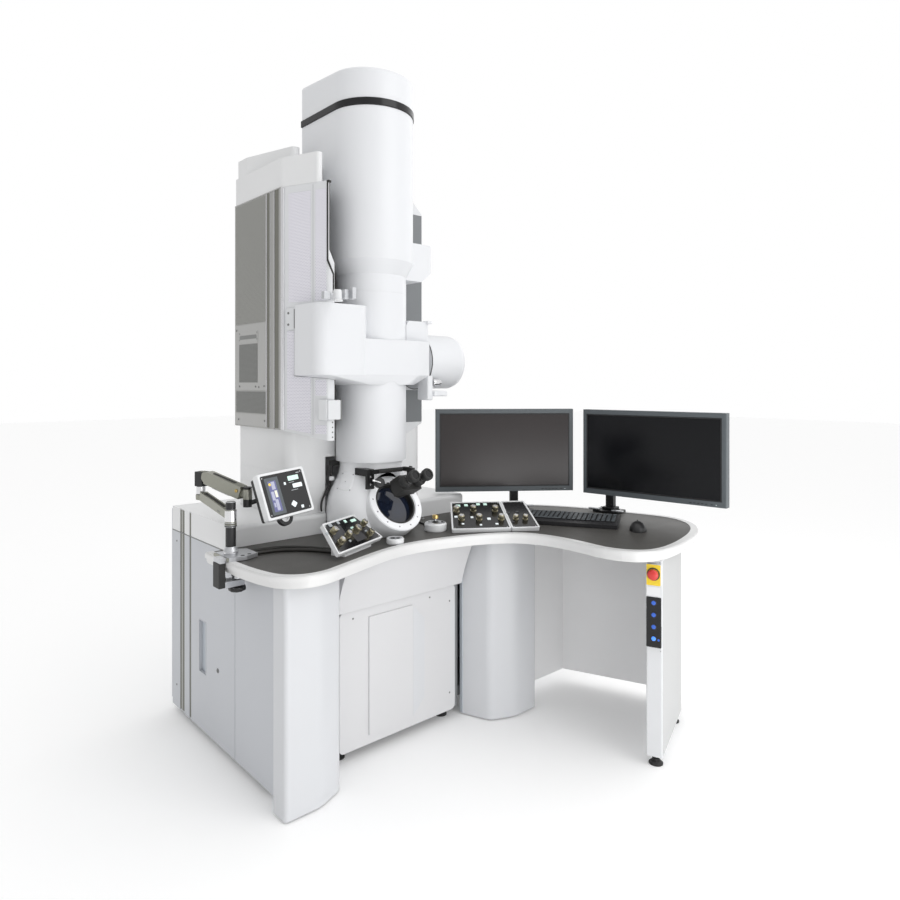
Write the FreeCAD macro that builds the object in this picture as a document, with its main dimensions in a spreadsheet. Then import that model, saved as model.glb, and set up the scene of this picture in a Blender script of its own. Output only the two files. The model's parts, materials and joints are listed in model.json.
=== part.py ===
import FreeCAD, Part
import math
import os
import Sketcher
from FreeCAD import Vector, Placement, Rotation

# Transmission electron microscope with operator's desk.  Millimetres, +Z up.
# Working coordinates: the column's axis is X = 0, Y = 0, the operator sits at -Y,
# the desk's wing runs out to +X and -Y.  Every finished piece is then moved by
# (-origin_x, -origin_y) so that the row's origin is the middle of the footprint.

doc = FreeCAD.newDocument("electron_microscope")
sheet = doc.addObject("Spreadsheet::Sheet", "dims")

CELLS = [
    ("origin_x", 222.1), ("origin_y", -159.3),
    # console
    ("desk_z", 767), ("desk_slab", 30), ("edge_width", 28), ("edge_low", 729),
    ("cab_half", 555), ("cab_back", 627), ("cab_side_front", -286), ("cab_low", 30),
    ("cab_seam", 749), ("cab_top", 843), ("cab_cover_front", 62), ("panel_gauge", 18),
    ("rear_gauge", 26), ("cover_wall", 6), ("plate_low", 60), ("plate_gauge", 40),
    ("plate_half", 528), ("plate_front", -160), ("plate_back", 600),
    ("foot_pad_r", 25), ("foot_pad_z", 12), ("foot_stem_r", 8), ("leg_low", 36),
    ("front_y", -184), ("front_half", 274), ("front_low", 36), ("front_seam", 536),
    ("front_gauge", 12), ("apron_half", 296), ("apron_bulge", -286),
    ("pillar_low", 6), ("pillar_top", 728), ("pillar_out", 578), ("pillar_front", -364),
    ("pillar_wall", 8), ("leg_length", 410), ("leg_gauge", 56), ("modesty_gauge", 14),
    ("modesty_low", 55),
    # tower
    ("tower_half", 330), ("tower_front", 82), ("tower_back", 485), ("tower_mid", 1173),
    ("tower_side_half", 344), ("tower_side_front", 99), ("tower_side_back", 495),
    ("tower_high", 2088), ("tower_box_top", 2200), ("tower_cap_top", 2270),
    ("wing_front_half", 262), ("wing_front", -101), ("wing_front_low", 1139),
    ("wing_wall", 10),
    # column
    ("col_r", 139), ("col_wall", 4), ("col_low", 1046.3), ("col_seam", 1700),
    ("upper_r", 167), ("upper_wall", 5), ("upper_back", 251), ("taper_low", 1768),
    ("taper_high", 1822), ("band_low", 2396), ("band_high", 2425), ("band_r", 171),
    ("cap_front", 2540), ("cap_back", 2565), ("boss_x", 258), ("boss_low", 1764),
    ("boss_high", 1918),
    # specimen stage housing
    ("gonio_half", 331), ("gonio_front", -150), ("gonio_back", 22), ("gonio_low", 1380),
    ("gonio_top", 1637), ("gonio_mid", 1516), ("gonio_flare", 1600), ("gonio_right", 220),
    ("gonio_funnel", 1343), ("stage_z", 1440), ("stage_r", 114), ("stage_end", 508),
    # viewing chamber
    ("chamber_r", 177), ("neck_r", 125), ("window_y", -150), ("window_z", 884),
    ("window_tilt", 35), ("window_flange_r", 116), ("window_r", 86),
    # display arm
    ("post_x", -615), ("post_y", -63), ("post_r", 16), ("arm_low_z", 905),
    ("elbow_y", 186), ("display_w", 190), ("display_h", 160), ("display_t", 26),
    # monitors
    ("mon_w", 635), ("mon_h", 375), ("mon_t", 38), ("mon_low", 856),
    # loose items
    ("knob_r", 10.5), ("knob_z", 17), ("estop_r", 17), ("cord_r", 6),
]
for row, (alias, value) in enumerate(CELLS, start=1):
    sheet.set("A%d" % row, alias)
    sheet.set("B%d" % row, str(value))
    sheet.setAlias("B%d" % row, alias)

# outline of the black desk inlay, front side from the left back corner round to the
# right back corner, as the photograph's curve lies on the desk plane
OUTLINE = [(-624, 61), (-625, -126), (-612, -285), (-579, -374), (-510, -411), (-414, -393),
           (-244, -332), (-72, -293), (55, -300), (201, -335), (316, -385), (400, -460),
           (444, -590), (447, -720), (450, -848), (508, -926), (610, -943), (746, -922),
           (944, -855), (1052, -768), (1091, -662), (1066, -535), (1015, -335), (952, -185),
           (880, -80), (772, 12), (620, 61)]
for n, (px, py) in enumerate(OUTLINE):
    row = len(CELLS) + 1 + n
    sheet.set("A%d" % row, "outline %d" % n)
    sheet.set("B%d" % row, str(px))
    sheet.set("C%d" % row, str(py))
    sheet.setAlias("B%d" % row, "outline_x_%d" % n)
    sheet.setAlias("C%d" % row, "outline_y_%d" % n)
doc.recompute()


class Dim:
    """A number together with the sheet expression that gives it."""

    def __init__(self, v, e):
        self.v = float(v)
        self.e = e

    @staticmethod
    def of(o):
        return o if isinstance(o, Dim) else Dim(o, repr(float(o)))

    def __add__(self, o):
        o = Dim.of(o)
        return Dim(self.v + o.v, "(%s + %s)" % (self.e, o.e))

    def __radd__(self, o):
        return Dim.of(o) + self

    def __sub__(self, o):
        o = Dim.of(o)
        return Dim(self.v - o.v, "(%s - %s)" % (self.e, o.e))

    def __rsub__(self, o):
        return Dim.of(o) - self

    def __mul__(self, o):
        o = Dim.of(o)
        return Dim(self.v * o.v, "(%s * %s)" % (self.e, o.e))

    def __rmul__(self, o):
        return Dim.of(o) * self

    def __truediv__(self, o):
        o = Dim.of(o)
        return Dim(self.v / o.v, "(%s / %s)" % (self.e, o.e))

    def __neg__(self):
        return Dim(-self.v, "(0 - %s)" % self.e)


class Sheet:
    def __getattr__(self, alias):
        return Dim(sheet.get(alias), "dims." + alias)


D = Sheet()


def num(x):
    return x.v if isinstance(x, Dim) else float(x)


NODES = []
POS = {}
counter = [0]


def fresh(stem):
    counter[0] += 1
    return "%s_%d" % (stem, counter[0])


def bind(obj, prop, value):
    setattr(obj, prop, num(value))
    if isinstance(value, Dim):
        obj.setExpression(prop, value.e)


def place(obj, x=0, y=0, z=0, rot=None):
    obj.Placement = Placement(Vector(num(x), num(y), num(z)), rot or Rotation())
    POS[obj.Name] = (Dim.of(x), Dim.of(y), Dim.of(z))
    for axis, value in zip("xyz", (x, y, z)):
        if isinstance(value, Dim):
            obj.setExpression("Placement.Base." + axis, value.e)
    return obj


def node(obj, label):
    """Make obj a finished piece: name it and move it into the row's frame."""
    obj.Label = label
    x, y, z = POS.get(obj.Name, (Dim.of(0), Dim.of(0), Dim.of(0)))
    rot = obj.Placement.Rotation
    place(obj, x - D.origin_x, y - D.origin_y, z, rot)
    NODES.append(obj)
    return obj


def box(x0, x1, y0, y1, z0, z1, rot=None, at=None):
    o = doc.addObject("Part::Box", fresh("Box"))
    for prop, a, b in (("Length", x0, x1), ("Width", y0, y1), ("Height", z0, z1)):
        bind(o, prop, Dim.of(b) - Dim.of(a) if isinstance(a, Dim) or isinstance(b, Dim) else b - a)
    place(o, x0, y0, z0)
    return o


def cyl(x, y, z, r, height, rot=None):
    o = doc.addObject("Part::Cylinder", fresh("Cylinder"))
    bind(o, "Radius", r)
    bind(o, "Height", height)
    return place(o, x, y, z, rot)


def cone(x, y, z, r1, r2, height, rot=None):
    o = doc.addObject("Part::Cone", fresh("Cone"))
    bind(o, "Radius1", r1)
    bind(o, "Radius2", r2)
    bind(o, "Height", height)
    return place(o, x, y, z, rot)


def fuse(*objs):
    o = doc.addObject("Part::MultiFuse", fresh("Fuse"))
    o.Shapes = list(objs)
    return o


def group(*objs):
    o = doc.addObject("Part::Compound", fresh("Group"))
    o.Links = list(objs)
    return o


def cut(base, *tools):
    o = doc.addObject("Part::Cut", fresh("Cut"))
    o.Base = base
    o.Tool = tools[0] if len(tools) == 1 else group(*tools)
    return o


def feature(shape, stem="Formed"):
    o = doc.addObject("Part::Feature", fresh(stem))
    o.Shape = shape
    return o


def fillet(base, radius, pick):
    """Part::Fillet on the edges of base that pick(edge) accepts."""
    doc.recompute()
    edges = [i for i, e in enumerate(base.Shape.Edges, start=1) if pick(e)]
    o = doc.addObject("Part::Fillet", fresh("Fillet"))
    o.Base = base
    o.Edges = [(i, num(radius), num(radius)) for i in edges]
    return o


def vertical(e):
    if not isinstance(e.Curve, Part.Line):
        return False
    d = e.Curve.Direction
    return abs(d.z) > 0.99


def wire(pts, z=0):
    """Closed plan outline with a rounding radius at each corner: (x, y, r)."""
    pts = [(num(p[0]), num(p[1]), num(p[2]) if len(p) > 2 else 0.0) for p in pts]
    edges, n = [], len(pts)
    first = last = None
    for i in range(n):
        a = Vector(pts[i - 1][0], pts[i - 1][1], z)
        b = Vector(pts[i][0], pts[i][1], z)
        c = Vector(pts[(i + 1) % n][0], pts[(i + 1) % n][1], z)
        r = pts[i][2]
        if r > 0:
            u = (a - b).normalize()
            w = (c - b).normalize()
            half = math.acos(max(-1, min(1, u.dot(w)))) / 2
            d = r / math.tan(half)
            p, q = b + u * d, b + w * d
            mid = b + (u + w).normalize() * (r / math.sin(half) - r)
            arc = Part.Arc(p, mid, q).toShape()
        else:
            p = q = b
            arc = None
        if last is not None and (p - last).Length > 1e-6:
            edges.append(Part.LineSegment(last, p).toShape())
        if arc:
            edges.append(arc)
        if first is None:
            first = p
        last = q
    if (first - last).Length > 1e-6:
        edges.append(Part.LineSegment(last, first).toShape())
    return Part.Wire(edges)


def prism(pts, z0, z1):
    z0, z1 = num(z0), num(z1)
    return Part.Face(wire(pts, z0)).extrude(Vector(0, 0, z1 - z0))


def tube_prism(pts, z0, z1, wall):
    face = Part.Face(wire(pts, num(z0)))
    inner = face.makeOffset2D(-num(wall))
    height = Vector(0, 0, num(z1) - num(z0))
    return face.extrude(height).cut(inner.extrude(height))


def sketch(body, role, pts, name):
    """Closed polygon sketch on one of the body's own origin planes."""
    sk = body.newObject("Sketcher::SketchObject", name)
    plane = [f for f in body.Origin.OriginFeatures if f.Role == role][0]
    sk.AttachmentSupport = [(plane, "")]
    sk.MapMode = "FlatFace"
    n = len(pts)
    for i in range(n):
        a, b = pts[i], pts[(i + 1) % n]
        sk.addGeometry(Part.LineSegment(Vector(num(a[0]), num(a[1]), 0),
                                        Vector(num(b[0]), num(b[1]), 0)), False)
    for i in range(n):
        sk.addConstraint(Sketcher.Constraint("Coincident", i, 2, (i + 1) % n, 1))
    for i, (x, y) in enumerate(pts):
        for kind, value, axis in (("DistanceX", x, -2), ("DistanceY", y, -1)):
            if abs(num(value)) < 1e-9:
                sk.addConstraint(Sketcher.Constraint("PointOnObject", i, 1, axis))
            else:
                k = sk.addConstraint(Sketcher.Constraint(kind, -1, 1, i, 1, num(value)))
                if isinstance(value, Dim):
                    sk.setExpression("Constraints[%d]" % k, value.e)
    return sk


def revolved(pts, x=0, y=0, z=0, rot=None):
    """PartDesign body turned about its Z axis from a polygon of (radius, height)."""
    body = doc.addObject("PartDesign::Body", fresh("Turned"))
    sk = sketch(body, "XZ_Plane", pts, fresh("Profile"))
    turn = body.newObject("PartDesign::Revolution", fresh("Revolution"))
    turn.Profile = sk
    turn.ReferenceAxis = (sk, ["V_Axis"])
    turn.Angle = 360
    sk.Visibility = False
    place(body, x, y, z, rot)
    return body


def padded(pts, height, x=0, y=0, z=0, rot=None, role="XY_Plane", reverse=False):
    body = doc.addObject("PartDesign::Body", fresh("Padded"))
    sk = sketch(body, role, pts, fresh("Profile"))
    pad = body.newObject("PartDesign::Pad", fresh("Pad"))
    pad.Profile = sk
    pad.Reversed = reverse
    bind(pad, "Length", height)
    place(body, x, y, z, rot)
    return body


RX = Rotation(Vector(0, 1, 0), 90)       # turns +Z to +X


# ---------------------------------------------------------------- console
plate = box(-D.plate_half, D.plate_half, D.plate_front, D.plate_back, D.plate_low,
            D.plate_low + D.plate_gauge)
low = D.plate_low + D.plate_gauge
posts = [box(-310, -276, D.plate_front - 12, D.plate_front + 22, D.cab_low, D.edge_low - 1),
         box(276, 310, D.plate_front - 12, D.plate_front + 22, D.cab_low, D.edge_low - 1),
         box(-D.plate_half, -D.plate_half + 40, D.plate_back - 40, D.plate_back, low, 830),
         box(D.plate_half - 40, D.plate_half, D.plate_back - 40, D.plate_back, low, 830),
         box(-D.plate_half, -D.plate_half + 40, D.plate_front, D.plate_front + 40, low, 737),
         box(D.plate_half - 40, D.plate_half, D.plate_front, D.plate_front + 40, low, 737),
         box(-D.plate_half, -D.plate_half + 40, D.plate_front + 30, 60, 700, 737),
         box(D.plate_half - 40, D.plate_half, D.plate_front + 30, 60, 700, 737)]
node(fuse(plate, *posts), "base_frame")

LEG_DIR = Vector(0.934, 0.357, 0).normalize()
LEG_SIDE = Vector(-LEG_DIR.y, LEG_DIR.x, 0)
LEG_AT = Vector(548, -937, 0)
LEG_ANGLE = math.degrees(math.atan2(LEG_DIR.y, LEG_DIR.x))


def on_leg(along, side, z=0):
    p = LEG_AT + LEG_DIR * along + LEG_SIDE * side
    return (p.x, p.y, z)


feet = []
for fx, fy, top in [(-500, 505, 60), (500, 505, 60), (-246, -140, 60), (246, -140, 60),
                    on_leg(30, 0, 36), on_leg(375, 0, 36)]:
    feet.append(revolved([(0, 0), (D.foot_pad_r, 0), (D.foot_pad_r, 4), (D.foot_pad_r - 9, D.foot_pad_z),
                          (13, D.foot_pad_z), (13, 20), (D.foot_stem_r, 20),
                          (D.foot_stem_r, top), (0, top)], fx, fy, 0))
node(group(*feet), "levelling_feet")

# outer panels: both sides with the handle recess and shadow grooves, and the back
sides = []
for s in (-1, 1):
    x0, x1 = (-D.cab_half, -D.cab_half + D.panel_gauge) if s < 0 else \
        (D.cab_half - D.panel_gauge, D.cab_half)
    panel = box(x0, x1, D.cab_side_front, D.cab_back - 0.5, D.cab_low, D.cab_seam - 1)
    outer = num(D.cab_half)
    def slot(y0, y1, z0, z1, deep):
        return box(*( (-outer - 1, -outer + deep) if s < 0 else (outer - deep, outer + 1)), y0, y1, z0, z1)
    handle = slot(288, 350, 247, 445, 13)
    panel = cut(panel, handle, slot(-300, 61.6, 736.6, 760, 30), slot(34.5, 37.5, 0, 800, 3), slot(430, 447, 0, 800, 4),
                slot(498, 544, 0, 800, 4))
    sides.append(panel)
back = box(-548, 548, D.cab_back, D.cab_back + D.rear_gauge, 45, D.cab_top - 14)
node(group(sides[0], sides[1], back), "console_panels")

# corner pillars, closed sheet profiles with a deep rounded inner corner
PILLAR = [(578, -287, 4), (578, -364, 14), (452, -364, 130), (352, -322, 48), (309, -205, 6),
          (309, -188, 2), (536, -188, 2), (536, -287, 0)]
pillars = []
for s in (1, -1):
    pts = [(s * x, y, r) for x, y, r in PILLAR]
    pillars.append(feature(tube_prism(pts, D.pillar_low, D.pillar_top, D.pillar_wall)))
node(group(*pillars), "pillars")

# lift-off front panel with the raised field and its wide bevel
fp = box(-D.front_half, D.front_half, D.front_y - 12, D.front_y, D.front_low, D.front_seam)
fp = fillet(fp, 18, lambda e: abs(e.tangentAt(e.FirstParameter).y) > 0.99)
field = padded([(-150, 70), (52, 70), (112, 130), (112, 440), (52, 500), (-150, 500)], 5,
               0, D.front_y - 12, 0, role="XZ_Plane")
node(fuse(fp, field), "front_access_panel")

apron_face = Part.Face(Part.Wire([
    Part.LineSegment(Vector(0, -196, 540), Vector(0, -212, 540)).toShape(),
    Part.Arc(Vector(0, -212, 540), Vector(0, -250, 652), Vector(0, num(D.apron_bulge), 727)).toShape(),
    Part.LineSegment(Vector(0, num(D.apron_bulge), 727), Vector(0, -196, 727)).toShape(),
    Part.LineSegment(Vector(0, -196, 727), Vector(0, -196, 540)).toShape()]))
apron_face.translate(Vector(-num(D.apron_half), 0, 0))
apron = apron_face.extrude(Vector(2 * num(D.apron_half), 0, 0))
apron_in = apron.copy()
apron_in.translate(Vector(0, 7, -7))
keep = Part.makeBox(2 * num(D.apron_half) - 16, 300, 178, Vector(-num(D.apron_half) + 8, -400, 548))
node(feature(apron.cut(apron_in.common(keep))), "front_apron")

# raised cover over the back of the cabinet, notched round the viewing chamber
cw = num(D.cover_wall)
H, F, B = num(D.cab_half), num(D.cab_cover_front), num(D.cab_back) - 0.5
outer = Part.makeBox(2 * H, B - F, num(D.cab_top) - num(D.cab_seam), Vector(-H, F, num(D.cab_seam)))
outer = outer.makeFillet(16, [e for e in outer.Edges
                              if abs(e.CenterOfMass.z - num(D.cab_top)) < .1
                              and abs(e.CenterOfMass.y - F) < .1])
inner = Part.makeBox(2 * H - 2 * cw, B - F - 2 * cw, num(D.cab_top) - cw - num(D.cab_seam) + 5,
                     Vector(-H + cw, F + cw, num(D.cab_seam) - 5))
notch = Part.makeCylinder(181, 300, Vector(0, 0, 700))
rear = outer.cut(inner).cut(notch)
for y0, y1 in ((430, 447), (498, 544)):
    for s in (-1, 1):
        rear = rear.cut(Part.makeBox(3, y1 - y0, 200, Vector(-H - .01 if s < 0 else H - 3 + .01, y0, 740)))
node(feature(rear), "rear_cabinet_cover")

# desk slab and its moulded edge
curve = Part.BSplineCurve()
curve.interpolate([Vector(float(sheet.get("outline_x_%d" % n)), float(sheet.get("outline_y_%d" % n)), 0)
                   for n in range(len(OUTLINE))])
samples = curve.discretize(Number=73)


def rim(grow):
    """Points of the outline moved outwards by grow, ending on the cabinet line."""
    out = []
    for p in samples:
        t = curve.tangent(curve.parameter(p))[0]
        out.append(p + Vector(t.y, -t.x, 0) * grow)
    out[0] = Vector(samples[0].x - grow, samples[0].y, 0)
    if grow > 0:
        while out[-2].y > samples[-1].y:
            out.pop()
        a, b = out[-2], out[-1]
        out[-1] = a + (b - a) * ((samples[-1].y - a.y) / (b.y - a.y))
        if len(out) % 2 == 0:
            out.insert(-1, (out[-2] + out[-1]) * .5 + Vector(.2, .3, 0))
    return out


def arcs(ps):
    return [Part.Arc(ps[k], ps[k + 1], ps[k + 2]).toShape() for k in range(0, len(ps) - 2, 2)]


rim_0 = rim(0)
slab_face = Part.Face(Part.Wire(arcs(rim_0) + [Part.LineSegment(rim_0[-1], rim_0[0]).toShape()]))
slab = slab_face.copy()
slab.translate(Vector(0, 0, num(D.desk_z) - num(D.desk_slab)))
slab = slab.extrude(Vector(0, 0, num(D.desk_slab))).cut(Part.makeCylinder(100, 100, Vector(0, 0, 700)))
node(feature(slab), "desk_top")

# double nosing: a proud upper roll, a groove and a set-back lower roll
ew, el, ez_ = num(D.edge_width), num(D.edge_low), num(D.desk_z)
LAYERS = [(ew - 12, el, el + 4), (ew - 8, el + 4, el + 10), (ew - 6, el + 10, ez_ - 19), (ew - 3, ez_ - 19, ez_ - 16),
          (ew, ez_ - 16, ez_ - 3), (ew - 1.5, ez_ - 3, ez_), (ew - 4.5, ez_, ez_ + 2)]
rolls = []
for grow, za, zb in LAYERS:
    o = rim(grow)
    loop = Part.Face(Part.Wire(Part.__sortEdges__(
        arcs(o) + [Part.LineSegment(o[-1], rim_0[-1]).toShape()] + arcs(rim_0) +
        [Part.LineSegment(rim_0[0], o[0]).toShape()])))
    loop.translate(Vector(0, 0, za))
    rolls.append(loop.extrude(Vector(0, 0, zb - za)))
node(feature(rolls[0].fuse(rolls[1:])), "desk_edge")

# folded modesty panel under the wing: link, long panel, return to the leg
g = num(D.modesty_gauge)
P = [Vector(579, -271, 0), Vector(867, -271, 0), Vector(1049, -747, 0)]
Q = LEG_AT + LEG_DIR * (num(D.leg_length) + 0.0)
P.append(Vector(Q.x, Q.y, 0))


def strip(path, gauge, z_low, z_high):
    """Folded sheet: the path is the face towards the sitter."""
    offs = []
    for i, p in enumerate(path):
        dirs = []
        if i > 0:
            dirs.append((p - path[i - 1]).normalize())
        if i < len(path) - 1:
            dirs.append((path[i + 1] - p).normalize())
        normals = [Vector(-d.y, d.x, 0) for d in dirs]
        nsum = normals[0] if len(normals) == 1 else (normals[0] + normals[1]).normalize()
        k = gauge / (nsum.dot(normals[0]))
        offs.append(p + nsum * k)
    ring_pts = [(v.x, v.y) for v in path] + [(v.x, v.y) for v in reversed(offs)]
    return prism(ring_pts, z_low, z_high)


leg_room = Part.makeBox(num(D.leg_length), num(D.leg_gauge), 700, Vector(0, -num(D.leg_gauge) / 2, 36))
leg_room.Placement = Placement(LEG_AT, Rotation(Vector(0, 0, 1), LEG_ANGLE))
node(feature(strip(P, g, num(D.modesty_low), 728.5).cut(leg_room)), "modesty_panel")

leg = box(0, D.leg_length, -D.leg_gauge / 2, D.leg_gauge / 2, D.leg_low, 728.5)
leg = fillet(leg, 5, vertical)
leg_core = box(5, D.leg_length - 5, -D.leg_gauge / 2 + 5, D.leg_gauge / 2 - 5, D.leg_low + 5, 720)
leg_all = cut(leg, leg_core)

# switch housing welded to the leg's end: emergency stop above, lit key strip below
hs = fuse(box(-14, 0, -25, 25, 640, 716), box(-9, 0, -27, 27, 500, 640), box(-11, 0, -27, 27, 630, 640))
st_bore = cyl(-20, 0, 682, 9, 26, RX)
leg_whole = cut(fuse(leg_all, hs), st_bore)
place(leg_whole, LEG_AT.x, LEG_AT.y, 0, Rotation(Vector(0, 0, 1), LEG_ANGLE))
node(leg_whole, "wing_leg")

# mushroom head on a stem that runs in the housing's blind bore; axis along the leg
rot_leg = Rotation(Vector(0, 0, 1), LEG_ANGLE).multiply(Rotation(Vector(0, 1, 0), -90))
ex, ey, ez = on_leg(-14, 0, 682)
stop = revolved([(0, -9), (8.5, -9), (8.5, 6), (12, 6), (D.estop_r, 8), (D.estop_r, 14), (12, 18), (0, 19)],
                ex, ey, ez, rot_leg)
node(stop, "estop_button")

# ---------------------------------------------------------------- tower
th, tf, tb = num(D.tower_half), num(D.tower_front), num(D.tower_back)
lower_pts = [(-th, tb, 12), (th, tb, 12), (th, tf, 45), (-th, tf, 45)]
lower = tube_prism(lower_pts, num(D.cab_top) + .3, num(D.tower_mid) - .3, 6)
lower = lower.cut(Part.makeCylinder(181, 300, Vector(0, 0, 760))).cut(Part.makeCylinder(143, 400, Vector(0, 0, 900)))
for zz in (1010, 950):
    groove = tube_prism([(-th - 1, tb + 1, 12), (th + 1, tb + 1, 12), (th + 1, tf - 1, 45), (-th - 1, tf - 1, 45)],
                        zz, zz + 2, 2)
    lower = lower.cut(groove)
node(feature(lower), "tower_lower_cover")

sh, sf, sb = D.tower_side_half, D.tower_side_front, D.tower_side_back
tower_sides = []
for s in (-1, 1):
    x0, x1 = (-sh, -sh + 14) if s < 0 else (sh - 14, sh)
    sp = box(x0, x1, sf + 1, sb, D.tower_mid, D.tower_high - .5)
    groove_x = (-345, -341) if s < 0 else (341, 345)
    sp = cut(sp, box(groove_x[0], groove_x[1], 196, 199, 1100, 2200),
             box(groove_x[0], groove_x[1], 148, 151, 1100, 2200))
    if s > 0:
        sp = cut(sp, cyl(300, 0, D.stage_z, D.stage_r + 3, 80, RX))
    tower_sides.append(sp)
tower_back_panel = box(-sh + 14.5, sh - 14.5, sb - 12, sb, D.tower_mid, D.tower_high - .5)
node(group(tower_sides[0], tower_sides[1], tower_back_panel), "tower_side_panels")

# gonio housing first, because the tower's front wings are notched round it
gh, gf, gb = num(D.gonio_half), num(D.gonio_front), num(D.gonio_back)
gl, gt, gm = num(D.gonio_low), num(D.gonio_top), num(D.gonio_mid)
gr = num(D.gonio_right)


def gonio_solid(grow):
    a = grow
    block = prism([(-gh - a, gb + a, 8), (-gh - a, gf - a, 46), (-104 + a, gf - a, 50), (-104 + a, gb + a, 0)],
                  gl - a, gt + a)
    mid = prism([(-240, 100 + a, 0), (-240, gf - a + 6, 0), (130, gf - a + 6, 60), (gr + a, gf - a + 40, 30),
                 (gr + a, 100 + a, 20)], gl - a, gm + a)
    fl = Part.makePolygon([Vector(60 - a, 0, gm - 2), Vector(120 - a, 0, num(D.gonio_flare) + a),
                           Vector(gr + a, 0, num(D.gonio_flare) + a), Vector(gr + a, 0, gm - 2),
                           Vector(60 - a, 0, gm - 2)])
    flare = Part.Face(fl)
    flare.translate(Vector(0, gf - a + 58, 0))
    flare = flare.extrude(Vector(0, 100 + a - (gf - a + 58), 0))
    lo = wire([(-gh - a, 60, 30), (-gh - a, gf - a, 46), (130, gf - a + 6, 50), (gr + a, gf - a + 40, 30),
               (gr + a, 60, 30)], gl - a)
    hi = wire([(-170 - a, 60, 30), (-130 - a, -130, 60), (90, -140, 60), (150 + a, -90, 40), (160 + a, 60, 30)],
              num(D.gonio_funnel))
    funnel = Part.makeLoft([hi, lo], True)
    return block.fuse([mid, flare, funnel]).removeSplitter()


gonio_full = gonio_solid(0)
gonio = gonio_full.cut(Part.makeCylinder(140, 600, Vector(0, 0, 1200)))
for bx in (Part.makeBox(160, 140, 232, Vector(-311, -130, 1397)),
           Part.makeBox(66, 150, 110, Vector(146, -88, 1397))):
    gonio = gonio.cut(bx)
gonio = gonio.fuse(Part.makeCylinder(92, 16, Vector(212, 0, num(D.stage_z)), Vector(1, 0, 0)))
gonio = gonio.cut(Part.makeCylinder(70, 120, Vector(150, 0, num(D.stage_z)), Vector(1, 0, 0)))
gonio = gonio.cut(Part.makeCylinder(30, 60, Vector(120, 0, num(D.stage_z)), Vector(1, 0, 0)))
node(feature(gonio), "gonio_housing")

boss_z = (num(D.boss_low), num(D.boss_high))


def boss_solid(a):
    prof = Part.makePolygon([Vector(90, 0, boss_z[0] - a), Vector(num(D.boss_x) - 60, 0, boss_z[0] - a),
                             Vector(num(D.boss_x) + a, 0, boss_z[0] + 50 - a),
                             Vector(num(D.boss_x) + a, 0, boss_z[1] + a), Vector(90, 0, boss_z[1] + a),
                             Vector(90, 0, boss_z[0] - a)])
    b = Part.Face(prof)
    b.translate(Vector(0, -78 - a, 0))
    b = b.extrude(Vector(0, 130 + 2 * a, 0))
    try:
        b = b.makeFillet(20, [e for e in b.Edges if e.CenterOfMass.x > num(D.boss_x) - 1])
    except Exception as error:
        print("boss fillet", error)
    return b


wings = []
W0 = (-num(sh), num(sf))
W1 = (-num(D.wing_front_half), num(D.wing_front))
ww = num(D.wing_wall)
pts = [(W0[0], W0[1]), (W1[0], W1[1], 10), (W1[0] + 27, W1[1]), (W1[0] + 27, W1[1] + ww),
       (W1[0] + ww * .9, W1[1] + ww, 3), (W0[0] + ww * 1.1, W0[1])]
solid = prism(pts, num(D.wing_front_low), num(D.tower_high) - .5)
wedge = Part.Face(Part.makePolygon([Vector(-400, num(D.wing_front), num(D.wing_front_low)),
                                    Vector(-400, num(sf) + 1, num(D.tower_mid)),
                                    Vector(-400, num(sf) + 1, num(D.wing_front_low) - 10),
                                    Vector(-400, num(D.wing_front), num(D.wing_front_low) - 10),
                                    Vector(-400, num(D.wing_front), num(D.wing_front_low))]))
solid = solid.cut(wedge.extrude(Vector(800, 0, 0)))
# the flap's corner is cut back above the column's taper
corner = Part.Face(Part.makePolygon([Vector(-257, -200, 1836), Vector(-257, -200, 2200), Vector(-150, -200, 2200),
                                     Vector(-150, -200, 1790), Vector(-235, -200, 1790), Vector(-257, -200, 1836)]))
solid = solid.cut(corner.extrude(Vector(0, 120, 0)))
solid = solid.cut(gonio_solid(1.5)).cut(gonio_full)
wings.append(feature(max(solid.Solids, key=lambda q: q.Volume)))
# flat front flange beside the column on the other side
flange = Part.Face(Part.makePolygon([Vector(181, 70, 1135), Vector(240, 70, 1135), Vector(320, 70, 1176),
                                     Vector(320, 70, 2084), Vector(272, 70, 2131), Vector(181, 70, 2131),
                                     Vector(181, 70, 1135)]))
flange = flange.extrude(Vector(0, 10, 0)).fuse(Part.makeBox(10, 24, 906, Vector(310, 75, 1178)))
stage_clear = Part.makeCylinder(num(D.stage_r) + 3, 400, Vector(200, 0, num(D.stage_z)), Vector(1, 0, 0))
flange = flange.cut(gonio_solid(1.5)).cut(gonio_full).cut(stage_clear)
wings += [feature(q) for q in flange.Solids if q.Volume > 4000]
node(group(*wings), "wing_covers")

d_out = [(-168.5, 262, 0), (-168.5, 0, 0), (168.5, 0, 0), (168.5, 262, 0)]
top_pts = [(-num(sh), num(sb), 12), (-num(sh), num(sf), 60), (-271, -79, 14), (-180, 90, 0), (180, 99.5, 0),
           (290, 99.5, 8), (num(sh), 168, 10), (num(sh), num(sb), 12)]
core = prism(d_out, 2000, 2500).fuse(Part.makeCylinder(168.5, 500, Vector(0, 0, 2000)))
lower_box = prism(top_pts, num(D.tower_high), num(D.tower_box_top))
lower_in = prism([(-331, 484, 4), (-331, 104, 46), (-267, -52, 4), (-196, 103, 0), (190, 112, 0), (285, 112, 4),
                  (331, 172, 4), (331, 484, 4)], num(D.tower_high) - 5, num(D.tower_box_top) - 6)
cap_pts = [(-343, 474, 10), (-343, 388, 40), (-262, 100, 20), (-172, 275, 0), (172, 275, 0), (262, 100, 20),
           (343, 388, 40), (343, 474, 10)]
cap_hi = prism(cap_pts, num(D.tower_box_top) - 10, num(D.tower_cap_top))
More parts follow.
